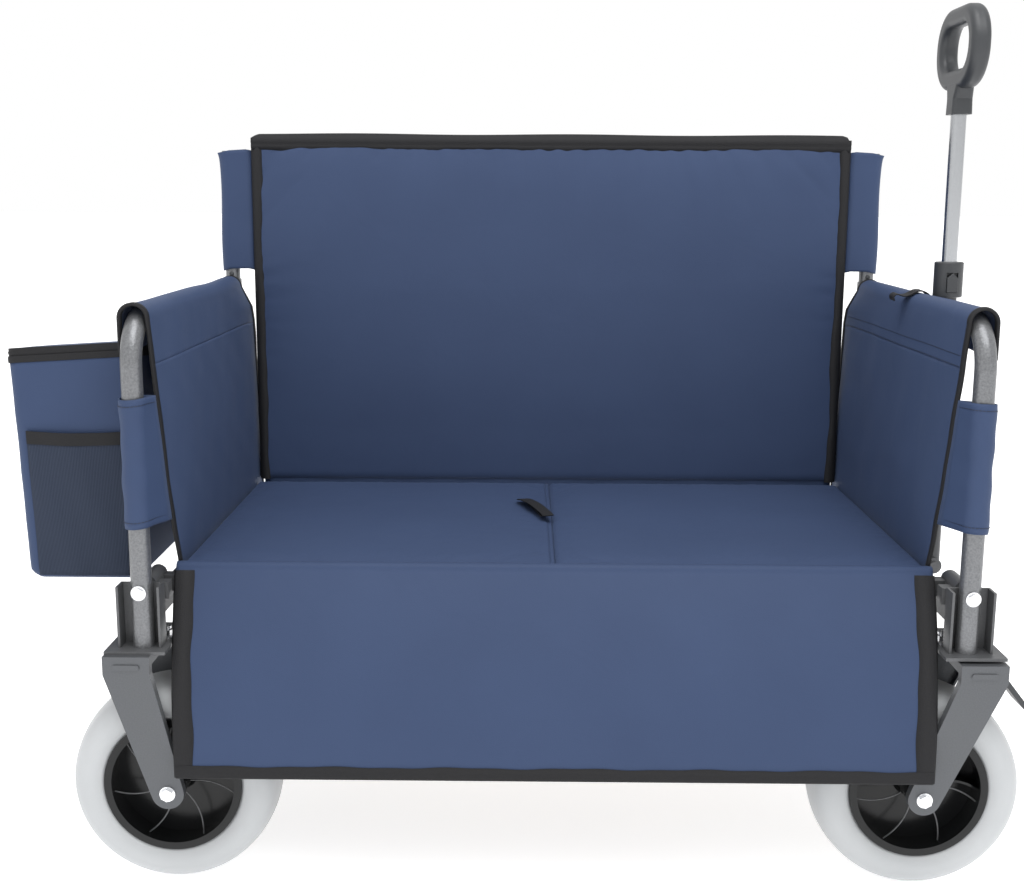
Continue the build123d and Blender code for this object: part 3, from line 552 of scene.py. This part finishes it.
# ---------------------------------------------------------------- backrest sleeves
# Flat cloth ears that reach from the backrest round the posts. Their free ends flare at the top.
for side, way in (("left", -1), ("right", 1)):
    low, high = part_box(f"back_sleeve_{side}")
    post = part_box(f"back_post_{side}")
    post_x = (post[0].x + post[1].x) / 2
    post_y = (post[0].y + post[1].y) / 2
    panel_x = middle_x + way * 0.4535
    z = np.linspace(0, 1, 46)
    ring = []
    for turn in np.linspace(-100, 100, 17):
        ring.append((math.cos(math.radians(turn)), math.sin(math.radians(turn))))
    grid = []
    for t in z:
        flare = 0.0018 * math.exp(-(1 - t) / 0.04) + 0.0006 * math.sin(t * 7)
        radius = 0.0136 + flare * 0.6
        outline = [(panel_x, post_y - 0.0105)]
        outline.append((panel_x + way * 0.012, post_y - 0.0125 - 0.001 * math.sin(t * 11)))
        for c, s in ring:
            outline.append((post_x + way * (radius * c + flare * max(0, c)), post_y + radius * s))
        outline.append((panel_x + way * 0.012, post_y + 0.0085))
        outline.append((panel_x, post_y + 0.003))
        row = []
        for k, (px, py) in enumerate(outline):
            share = abs(px - panel_x) / abs(post_x - panel_x)
            height = low.z + t * (high.z - low.z)
            height += t ** 8 * (0.003 * math.sin(share * 3.1) + 0.001)
            height += (1 - t) ** 6 * 0.004 * math.sin(share * 2.6)
            row.append((px, py, height))
        grid.append(row)
    ear = cloth_mesh(f"backrest_ear_{side}", grid, blue_oxford, thickness=0.0016)
    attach(ear, f"back_{side}")
    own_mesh(ear)
    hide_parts(f"back_sleeve_{side}")

# ---------------------------------------------------------------- apron
# The seat's cover runs on over its front edge and hangs to the wheels' axles, bowed forwards by a
# stiffener. Both sides are bound with wide zip tape and the foot with a narrower tape.


def lifted(surface, a, b, lift):
    """Points on a surface, moved along its normal."""
    step = 1e-4
    place = surface(a, b)
    normal = np.cross(surface(a + step, b) - place, surface(a, b + step) - place)
    normal /= np.linalg.norm(normal, axis=-1, keepdims=True)
    return place + normal * np.asarray(lift)[..., None]


def edge_tape(name, surface, path, inward, width, lift, material):
    """Tape folded over an edge of a surface; path and inward are in the surface's own metres."""
    path = np.asarray(path, float)
    inward = np.broadcast_to(np.asarray(inward, float), path.shape)
    section = [(1, lift), (0.55, lift * 1.35), (0.04, lift), (-0.09, 0), (0.04, -lift), (1, -lift)]
    run = np.concatenate([[0], np.cumsum(np.linalg.norm(np.diff(path, axis=0), axis=1))])
    wobble = 1 + 0.05 * np.sin(run * 41) + 0.03 * np.sin(run * 97 + 1)
    grid = []
    for share, height in section:
        reach = share * width * (wobble if share > 0.5 else np.ones(len(path)))
        where = path + inward * reach[:, None]
        grid.append(lifted(surface, where[:, 0], where[:, 1], np.full(len(path), height)))
    return cloth_mesh(name, np.stack(grid, 1), material, loop=True)


apron_low, apron_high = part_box("apron")
half_top = (apron_high.x - apron_low.x) / 2
half_foot = half_top - 0.017
fall = np.array([0, -0.1055, -0.228])
drop_length = float(np.linalg.norm(fall))
outwards = np.array([0, -0.228, 0.1055]) / drop_length


def apron_surface(a, b):
    """a runs across from the middle, b down from the seat's front edge; the roll over it is b < 0."""
    t = np.clip(b / drop_length, 0, 1.2)
    place = np.array([0, -0.2215, 0.384]) + t[..., None] * fall
    place = place + outwards * (0.048 * t * (1 - t))[..., None]
    roll = np.clip(-b, 0, 0.02)[..., None]
    turn = roll / 0.0055
    bent = np.minimum(turn, 1.4)
    curl = 0.0055 * np.concatenate([0 * turn, 1 - np.cos(bent), np.sin(bent)], -1)
    flat = np.maximum(roll - 0.0077, 0)
    place = place + curl + flat * np.array([0, 1, 0.0])
    share = half_top + (half_foot - half_top) * t
    place[..., 0] = middle_x + a * share / half_top
    edge = np.exp(-(half_top - np.abs(a)) / 0.07) + 0.45 * np.exp(-np.maximum(b, 0) / 0.05)
    soft = 0.0010 * ripple(a, b, 3, 0.30) + 0.0026 * edge * ripple(a, b * 0.6, 8, 0.085)
    soft = soft * np.clip(t * 5, 0, 1)
    return place + outwards * soft[..., None]


across = np.linspace(-half_top, half_top, 190)
down = np.concatenate([np.linspace(-0.012, 0, 7)[:-1], np.linspace(0, drop_length, 58)])
grid = lifted(apron_surface, *np.meshgrid(across, down), np.zeros((len(down), len(across))))
apron = cloth_mesh("apron_cloth", grid, blue_oxford, thickness=0.0022)
apron_pieces = []
for side, way in (("left", -1), ("right", 1)):
    path = np.stack([np.full(60, way * half_top), np.linspace(0.004, drop_length, 60)], 1)
    name = f"apron_tape_{side}"
    apron_pieces.append(edge_tape(name, apron_surface, path, (-way, 0), 0.0225, 0.0019, black_tape))
path = np.stack([np.linspace(-half_top, half_top, 150), np.full(150, drop_length)], 1)
apron_pieces.append(edge_tape("apron_foot_tape", apron_surface, path, (0, -1), 0.0135, 0.0022, black_tape))
for piece in [apron] + apron_pieces:
    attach(piece, "apron")
    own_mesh(piece)
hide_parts("apron")

# ---------------------------------------------------------------- stitching
# Runs of thread are short capsules repeated along a line, a little sunk in the cloth.
thread, tree, shader = new_material("navy_thread", (0.010, 0.015, 0.035), 0.6)
twist = texture(tree, "ShaderNodeTexNoise", 2500, Detail=1).outputs["Fac"]
tint(tree, shader, twist, (0.006, 0.009, 0.02), (0.018, 0.026, 0.055))


def stitch_tree():
    """Node tree that repeats a stitch along the edges of its mesh."""
    group = bpy.data.node_groups.new("stitch_run", "GeometryNodeTree")
    face = group.interface
    face.new_socket("Line", in_out="INPUT", socket_type="NodeSocketGeometry")
    face.new_socket("Stitch Pitch", in_out="INPUT", socket_type="NodeSocketFloat")
    face.new_socket("Stitch Length", in_out="INPUT", socket_type="NodeSocketFloat")
    face.new_socket("Thread Radius", in_out="INPUT", socket_type="NodeSocketFloat")
    face.new_socket("Stitches", in_out="OUTPUT", socket_type="NodeSocketGeometry")
    new = group.nodes.new
    link = group.links.new
    start = new("NodeGroupInput")
    curve = new("GeometryNodeMeshToCurve")
    even = new("GeometryNodeResampleCurve")
    even.mode = "LENGTH"
    stitch = new("GeometryNodeMeshCylinder")
    stitch.inputs["Vertices"].default_value = 6
    tangent = new("GeometryNodeInputTangent")
    turn = new("FunctionNodeAlignRotationToVector")
    repeat = new("GeometryNodeInstanceOnPoints")
    real = new("GeometryNodeRealizeInstances")
    paint = new("GeometryNodeSetMaterial")
    paint.inputs["Material"].default_value = thread
    end = new("NodeGroupOutput")
    link(start.outputs["Line"], curve.inputs["Mesh"])
    link(curve.outputs["Curve"], even.inputs["Curve"])
    link(start.outputs["Stitch Pitch"], even.inputs["Length"])
    link(start.outputs["Stitch Length"], stitch.inputs["Depth"])
    link(start.outputs["Thread Radius"], stitch.inputs["Radius"])
    link(tangent.outputs["Tangent"], turn.inputs["Vector"])
    link(even.outputs["Curve"], repeat.inputs["Points"])
    link(stitch.outputs["Mesh"], repeat.inputs["Instance"])
    link(turn.outputs["Rotation"], repeat.inputs["Rotation"])
    link(repeat.outputs["Instances"], real.inputs["Geometry"])
    link(real.outputs["Geometry"], paint.inputs["Geometry"])
    link(paint.outputs["Geometry"], end.inputs["Stitches"])
    return group


stitch_group = stitch_tree()


def stitches(name, points, pitch=0.0042, length=0.0031, radius=0.00042):
    """A run of stitches along a line of points."""
    mesh = bpy.data.meshes.new(name)
    mesh.from_pydata([tuple(p) for p in points], [(i, i + 1) for i in range(len(points) - 1)], [])
    piece = bpy.data.objects.new(name, mesh)
    bpy.context.scene.collection.objects.link(piece)
    run = piece.modifiers.new("stitches", "NODES")
    run.node_group = stitch_group
    sockets = {item.name: item.identifier for item in stitch_group.interface.items_tree}
    run[sockets["Stitch Pitch"]] = pitch
    run[sockets["Stitch Length"]] = length
    run[sockets["Thread Radius"]] = radius
    bake(piece)
    return piece


for side, way in (("left", -1), ("right", 1)):
    far, near = way * (half_top - 0.027), way * (half_top - 0.145)
    low, high = drop_length - 0.018, drop_length - 0.046
    corners = [(far, low), (far, high), (near, high), (near, low), (far, low)]
    line = []
    for (a0, b0), (a1, b1) in zip(corners, corners[1:]):
        for t in np.linspace(0, 1, 12):
            line.append((a0 + (a1 - a0) * t, b0 + (b1 - b0) * t))
    line = np.array(line)
    seen = lifted(apron_surface, line[:, 0], line[:, 1], np.full(len(line), 0.0018))
    patch = stitches(f"apron_patch_{side}", seen)
    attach(patch, "apron")
    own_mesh(patch)

# ---------------------------------------------------------------- arm covers and side panels
# One cloth runs from the outside over the top bar and down to the seat's edge. Black tape binds the
# arch, and zips close both edges.
bar_z = 0.695
seam_z = 0.640
hem_z = 0.379
over = 0.0164
flap = 0.042


def arm_surface(way):
    """Surface of one arm: a runs 0 to 1 from front to rear, b down the cloth from its outer hem."""
    bar_x = middle_x + way * 0.493
    arc = math.pi * over

    def surface(a, b):
        on_arc = np.clip((b - flap) / arc, 0, 1)
        inner = np.clip(b - flap - arc, 0, 1)
        z = bar_z - np.clip(flap - b, -1, 1) * (b < flap) + over * np.sin(math.pi * on_arc) - inner
        t = np.clip((bar_z - z) / (bar_z - hem_z), 0, 1) * (inner > 0)
        x_off = over * np.cos(math.pi * on_arc)
        lean = 0.0150 * t ** 0.9
        y_front = -0.262 + 0.049 * np.clip((seam_z - z) / (seam_z - 0.392), 0, 1.05) ** 1.25 * (inner > 0)
        y_front = y_front + 0.004 * np.sin(np.clip(t, 0, 1) * 6.3)
        y_rear = np.where(inner > 0, 0.262 + 0.022 * np.clip(inner / 0.05, 0, 1), 0.262)
        y = y_front + a * (y_rear - y_front)
        x = bar_x + way * (x_off - lean)
        free = np.sin(math.pi * np.clip(t, 0, 1)) ** 0.7
        sag = 0.0035 * free * np.sin(math.pi * np.clip(a, 0, 1))
        folds = 0.0022 * free * ripple(y, z * 0.5, 20 + way, 0.16)
        folds = folds + 0.0009 * ripple(y, z, 31 + way, 0.06) * (inner > 0)
        close = np.clip((a - 0.72) / 0.28, 0, 1) ** 2 * np.clip(inner / 0.03, 0, 1)
        x = x - way * (sag + folds - 0.001 + 0.012 * close * (1 - 0.55 * np.clip(t, 0, 1)))
        z = z + 0.0016 * ripple(y, y * 0, 44 + way, 0.17) * (1 - np.clip(inner / 0.1, 0, 1)) * (b > 0.01)
        z = z + 0.002 * np.sin(y * 37 + way) * np.clip(1 - b / 0.03, 0, 1)
        return np.stack([x + 0 * a, y, z + 0 * a], -1)

    return surface


cloth_end = flap + math.pi * over + (bar_z - hem_z)
seam_b = flap + math.pi * over + (bar_z - seam_z)
depth = 0.53
for side, way in (("left", -1), ("right", 1)):
    surface = arm_surface(way)
    body = f"{side}_end"
    along = np.linspace(0, 1, 120)
    parts = (("cover", np.linspace(0, seam_b, 46)), ("panel", np.linspace(seam_b, cloth_end, 64)))
    for part, fall_b in parts:
        grid = lifted(surface, *np.meshgrid(along, fall_b), np.zeros((len(fall_b), len(along))))
        cloth = cloth_mesh(f"arm_{part}_cloth_{side}", grid, blue_oxford, thickness=0.0018)
        tapes = []
        span = np.linspace(fall_b[0], fall_b[-1], 60)
        width = 0.009 if part == "cover" else 0.0085
        path = np.stack([np.zeros(60), span], 1)
        name = f"arm_{part}_front_tape_{side}"
        tapes.append(edge_tape(name, surface, path, (1 / depth, 0), width, 0.0019, black_tape))
        path = np.stack([np.ones(60), span], 1)
        name = f"arm_{part}_rear_tape_{side}"
        tapes.append(edge_tape(name, surface, path, (-1 / depth, 0), 0.007, 0.0017, black_tape))
        if part == "cover":
            for row, z in (("upper", 0.655), ("lower", 0.642)):
                line = np.linspace(0.03, 0.97, 60)
                drop = np.full(60, flap + math.pi * over + bar_z - z)
                run = lifted(surface, line, drop, np.full(60, 0.001))
                tapes.append(stitches(f"arm_stitches_{row}_{side}", run))
        for piece in [cloth] + tapes:
            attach(piece, body)
            if part == "panel":
                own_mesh(piece)
        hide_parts(f"arm_{part}_{side}")

# ---------------------------------------------------------------- leg loops
# Wide cloth sleeves round the front legs, drawn back to the zips' edges and hemmed top and bottom.
for side, way in (("left", -1), ("right", 1)):
    surface = arm_surface(way)
    centre = np.array([middle_x + way * 0.493, -0.278])
    heights = np.linspace(0.450, 0.604, 40)
    loop_grid = []
    for z in heights:
        b = flap + math.pi * over + bar_z - z
        tail = surface(np.array([0.0]), np.array([b]))[0][:2] + np.array([-way * 0.001, -0.004])
        radius = 0.0152 + 0.0005 * math.sin(z * 140) + 0.0004 * math.sin(z * 67 + way)
        away = tail - centre
        reach = float(np.hypot(*away))
        base = math.atan2(away[1], away[0])
        turn = math.acos(radius / reach)
        row = [tail + np.array([0.0, -0.0010])]
        for share in (0.25, 0.5, 0.75):
            touch = centre + radius * np.array([math.cos(base - turn), math.sin(base - turn)])
            row.append(tail * (1 - share) + touch * share)
        for angle in np.linspace(base - turn, base + turn - 2 * math.pi, 26):
            row.append(centre + radius * np.array([math.cos(angle), math.sin(angle)]))
        touch = row[-1]
        for share in (0.75, 0.5, 0.25):
            row.append(tail * (1 - share) + touch * share)
        row.append(tail + np.array([0.0, 0.0010]))
        loop_grid.append([(x, y, z + 0.0012 * math.sin(60 * (x + y))) for x, y in row])
    loop_grid = np.array(loop_grid)
    sleeve = cloth_mesh(f"leg_sleeve_{side}", loop_grid, blue_oxford, thickness=0.0014)
    outer = loop_grid.copy()
    outwards = loop_grid[:, :, :2] - centre
    outer[:, :, :2] += outwards / np.linalg.norm(outwards, axis=2)[..., None] * 0.0010
    low_hem = stitches(f"leg_hem_low_{side}", outer[2, 1:-1])
    hems = [low_hem, stitches(f"leg_hem_high_{side}", outer[-3, 1:-1])]
    for piece in [sleeve] + hems:
        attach(piece, f"{side}_end")
    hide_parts(f"leg_loop_{side}")

# ---------------------------------------------------------------- storage bag
# An open insulated bag with soft corners that sags a little between its seams. Its zipped lid turns
# up about the edge beside the hoop.
bag_low, bag_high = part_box("bag_body")
foot, front, rear = bag_low.z, bag_low.y, bag_high.y
inner_x = middle_x - 0.514
slope_out, slope_rear = 0.062, 0.1026
lid_corner = 0.664


def lid_height(x, y, depth):
    """Height of the lid's sloping top at x, y, moved down by depth."""
    return lid_corner - depth - slope_out * (inner_x - x) - slope_rear * (y - front)


def bag_ring(inset, outer_x, radius=0.014, count=9):
    """A plan of the bag: a rectangle with round corners, walked from the inner front corner."""
    x0, x1 = outer_x + inset, inner_x - inset
    y0, y1 = front + inset, rear - inset
    radius = max(0.002, radius - inset * 0.4)
    points = []
    walk = ((x1, y0, -90, -1, 1), (x0, y0, 180, 1, 1), (x0, y1, 90, 1, -1), (x1, y1, 0, -1, -1))
    for number, (cx, cy, _, sx, sy) in enumerate(walk):
        start = (0, -90, -180, -270)[number]
        centre = (cx + sx * radius, cy + sy * radius)
        for angle in np.linspace(start, start - 90, count):
            turn = math.radians(angle)
            points.append((centre[0] + radius * math.cos(turn), centre[1] + radius * math.sin(turn)))
        nxt = walk[(number + 1) % 4]
        end = points[-1]
        ahead = (nxt[0] + nxt[3] * radius, nxt[1] + nxt[4] * radius)
        flat_x = number in (0, 2)
        goal = (ahead[0], end[1]) if flat_x else (end[0], ahead[1])
        for share in np.linspace(0, 1, 16)[1:-1]:
            points.append((end[0] + (goal[0] - end[0]) * share, end[1] + (goal[1] - end[1]) * share))
    return np.array(points)


bag_lining, tree, shader = new_material("bag_lining", (0.28, 0.285, 0.29), 0.35, 0.3)
foil = texture(tree, "ShaderNodeTexNoise", 60, Detail=3).outputs["Fac"]
bump(tree, shader, foil, 0.002, 0.4)


def bag_wall(share):
    """One level of the bag's wall, from 0 at the foot to 1 at the rim."""
    height = foot + share * 0.30
    outer = middle_x - 0.659 - 0.012 * (height - foot) / 0.337
    inset = 0.0015 + 0.0075 * (1 - math.sin(math.pi / 2 * min(1, (height - foot) / 0.012)))
    plan = bag_ring(inset, outer)
    middle = plan.mean(0)
    away = plan - middle
    around = plan[:, 1] + plan[:, 0]
    sag = 0.0024 * math.sin(math.pi * min(1, share))
    sag = sag * ripple(around, np.full(len(plan), height), 71, 0.16)
    plan = plan - away / np.linalg.norm(away, axis=1)[:, None] * (0.0008 + np.abs(sag))[:, None]
    rim = lid_height(plan[:, 0], plan[:, 1], 0.0178)
    level = foot + (rim - foot) * share
    return np.column_stack([plan, level])


levels = [bag_wall(s) for s in np.concatenate([np.linspace(1, 0.06, 34), [0.035, 0.018, 0.006, 0]])]
base = levels[-1]
for share in (0.85, 0.6, 0.3, 0.02):
    centre = base.mean(0)
    levels.append(centre + (base - centre) * share)
shell = cloth_mesh("bag_shell", np.array(levels), blue_oxford, thickness=0.0030, loop=True)
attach(shell, "left_end")
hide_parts("bag_body")

band_rows = []
band_profile = (
    (0.0165, -0.0006), (0.0150, 0.0004), (0.0110, 0.0002),
    (0.0085, 0.0011), (0.0060, 0.0002), (0.0030, 0.0004),
)
for depth_in, push in band_profile:
    plan = bag_ring(0.0012 - push, middle_x - 0.6706)
    wave = 0.0007 * ripple(plan[:, 0], plan[:, 1], 83, 0.09)
    band_rows.append(np.column_stack([plan, lid_height(plan[:, 0], plan[:, 1], depth_in) + wave]))
under = band_rows[0]
closing = [under.mean(0) + (under - under.mean(0)) * s for s in (0.02, 0.5, 0.97)]
tape_rows = []
for depth_in, push in ((0.0125, 0.0012), (0.0170, 0.0014), (0.0208, 0.0010)):
    plan = bag_ring(0.0012 - push, middle_x - 0.6706)
    tape_rows.append(np.column_stack([plan, lid_height(plan[:, 0], plan[:, 1], depth_in)]))
lid_tape = cloth_mesh("lid_zip_tape", np.array(tape_rows), black_tape, loop=True)
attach(lid_tape, "bag_lid")
zip_band = cloth_mesh("lid_zip_band", np.array(closing + band_rows), black_tape, loop=True)
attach(zip_band, "bag_lid")
top_rows = [band_rows[-1]]
crown = (
    (0.995, 0.0022), (0.975, 0.0034), (0.93, 0.0044), (0.8, 0.0056),
    (0.6, 0.0066), (0.3, 0.0072), (0.02, 0.0074),
)
for share, rise in crown:
    plan = band_rows[-1][:, :2]
    centre = plan.mean(0)
    plan = centre + (plan - centre) * share
    top_rows.append(np.column_stack([plan, lid_height(plan[:, 0], plan[:, 1], 0.0065) + rise - 0.0005]))
lid_top = cloth_mesh("lid_top", np.array(closing + [under] + top_rows), blue_oxford, loop=True)
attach(lid_top, "bag_lid")
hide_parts("bag_lid")

# ---------------------------------------------------------------- bag pockets
# Slack dark mesh pockets over the bag's front and outer face, each hemmed with a black band.
mesh_fabric, tree, shader = new_material("dark_mesh", (0.026, 0.034, 0.056), 0.75)
weft = texture(tree, "ShaderNodeTexWave", 170, "UV", Distortion=0.4).outputs["Fac"]
tint(tree, shader, weft, (0.014, 0.020, 0.036), (0.040, 0.052, 0.082))
bump(tree, shader, weft, 0.0006, 0.6)
shader.inputs["Specular IOR Level"].default_value = 0.2


def outer_face(z):
    """The bag's leaning outer face at a height."""
    return middle_x - 0.659 - 0.012 * (z - foot) / 0.337


def pocket_sheet(kind, low_z, high_z, lift):
    """A grid over the front or the outer face that bulges off it."""
    rows = []
    for z in np.linspace(low_z, high_z, 30):
        t = (z - foot) / 0.171
        row = []
        for s in np.linspace(0, 1, 40):
            rounding = math.sin(math.pi * min(1, max(0, t) + 0.12) * 0.8) + 0.3
            bulge = 0.0026 * (math.sin(math.pi * s) ** 0.5) * rounding
            bulge += lift + 0.0006 * math.sin(13 * s + 40 * z)
            if kind == "front":
                x = outer_face(z) + 0.0165 + s * (inner_x - 0.0150 - outer_face(z) - 0.0165)
                row.append((x, front - bulge, z - 0.002 * math.sin(math.pi * s) * max(0, t)))
            else:
                row.append((outer_face(z) - bulge, front + 0.022 + s * (rear - front - 0.044), z))
        rows.append(row)
    return np.array(rows)


for kind, top in (("front", 0.550), ("outer", 0.535)):
    net_grid = pocket_sheet(kind, 0.3675, top, 0.0008)
    net = cloth_mesh(f"bag_net_{kind}", net_grid, mesh_fabric, thickness=0.0012)
    hem_grid = pocket_sheet(kind, top - 0.0155, top + 0.0005, 0.0020)
    hem = cloth_mesh(f"bag_hem_{kind}", hem_grid, black_tape, thickness=0.0012)
    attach(net, "left_end")
    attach(hem, "left_end")
    if kind == "front":
        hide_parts("bag_pockets")

# ---------------------------------------------------------------- straps
# Flat webbing: the hangers that hold the bag to the covered bar, the seat's pull loop, and the tie
# over the right arm beside the handle.


def ribbon(name, path, across, width, thickness=0.0016):
    """Webbing of one width along a path, with its flat side facing away from the across vectors."""
    path = np.asarray(path, float)
    across = np.asarray(across, float)
    if across.ndim == 1:
        across = np.tile(across, (len(path), 1))
    across = across / np.linalg.norm(across, axis=1)[:, None]
    grid = np.stack([path + across * width * s for s in (-0.5, -0.45, 0, 0.45, 0.5)], 1)
    return cloth_mesh(name, grid, black_tape, thickness=thickness)


def smooth_path(points, count=60):
    """An even path that bends smoothly through points."""
    points = np.asarray(points, float)
    reach = np.linspace(0, len(points) - 1, count)
    path = np.stack([np.interp(reach, np.arange(len(points)), points[:, k]) for k in range(3)], 1)
    for _ in range(10):
        path[1:-1] = (path[:-2] + path[1:-1] * 2 + path[2:]) / 4
    return path


for number, y in enumerate((-0.110, 0.120)):
    points = [
        (inner_x + 0.0012, y, 0.604), (inner_x + 0.0016, y, 0.630),
        (inner_x + 0.003, y, 0.640), (inner_x + 0.0034, y, 0.652),
    ]
    hanger = ribbon(f"bag_hanger_{number}", smooth_path(points, 30), (0, 1, 0), 0.025, 0.0012)
    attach(hanger, "left_end")
    if number == 0:
        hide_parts("bag_straps")

low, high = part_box("pull_strap")
points = [
    (middle_x - 0.003, low.y + 0.004, 0.3995), (middle_x - 0.008, low.y + 0.020, 0.4015),
    (middle_x - 0.022, low.y + 0.050, 0.4060),
    (middle_x - 0.034, low.y + 0.078, 0.4050), (middle_x - 0.040, low.y + 0.098, 0.4010),
    (middle_x - 0.039, low.y + 0.108, 0.3985),
    (middle_x - 0.030, low.y + 0.106, 0.3975), (middle_x - 0.022, low.y + 0.080, 0.3975),
    (middle_x - 0.012, low.y + 0.040, 0.3970),
    (middle_x - 0.006, low.y + 0.012, 0.3970),
]
path = smooth_path(points, 80)
loop = ribbon("pull_loop", path, (0.95, 0.32, 0), 0.016, 0.0014)
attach(loop, "seat_left")
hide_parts("pull_strap")

bar_x = middle_x + 0.493
points = [
    (bar_x - 0.034, 0, 0.7015), (bar_x - 0.036, 0, 0.7070),
    (bar_x - 0.031, 0, 0.7110), (bar_x - 0.022, 0, 0.7070),
    (bar_x - 0.013, 0, 0.7090), (bar_x - 0.005, 0, 0.7145),
    (bar_x + 0.004, 0, 0.7148), (bar_x + 0.012, 0, 0.7105),
    (bar_x + 0.0180, 0, 0.7010), (bar_x + 0.0186, 0, 0.6940),
]
tie = ribbon("handle_tie", smooth_path(points, 70), (0.05, 1, 0.02), 0.026, 0.0016)
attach(tie, "right_end")
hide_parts("handle_strap")
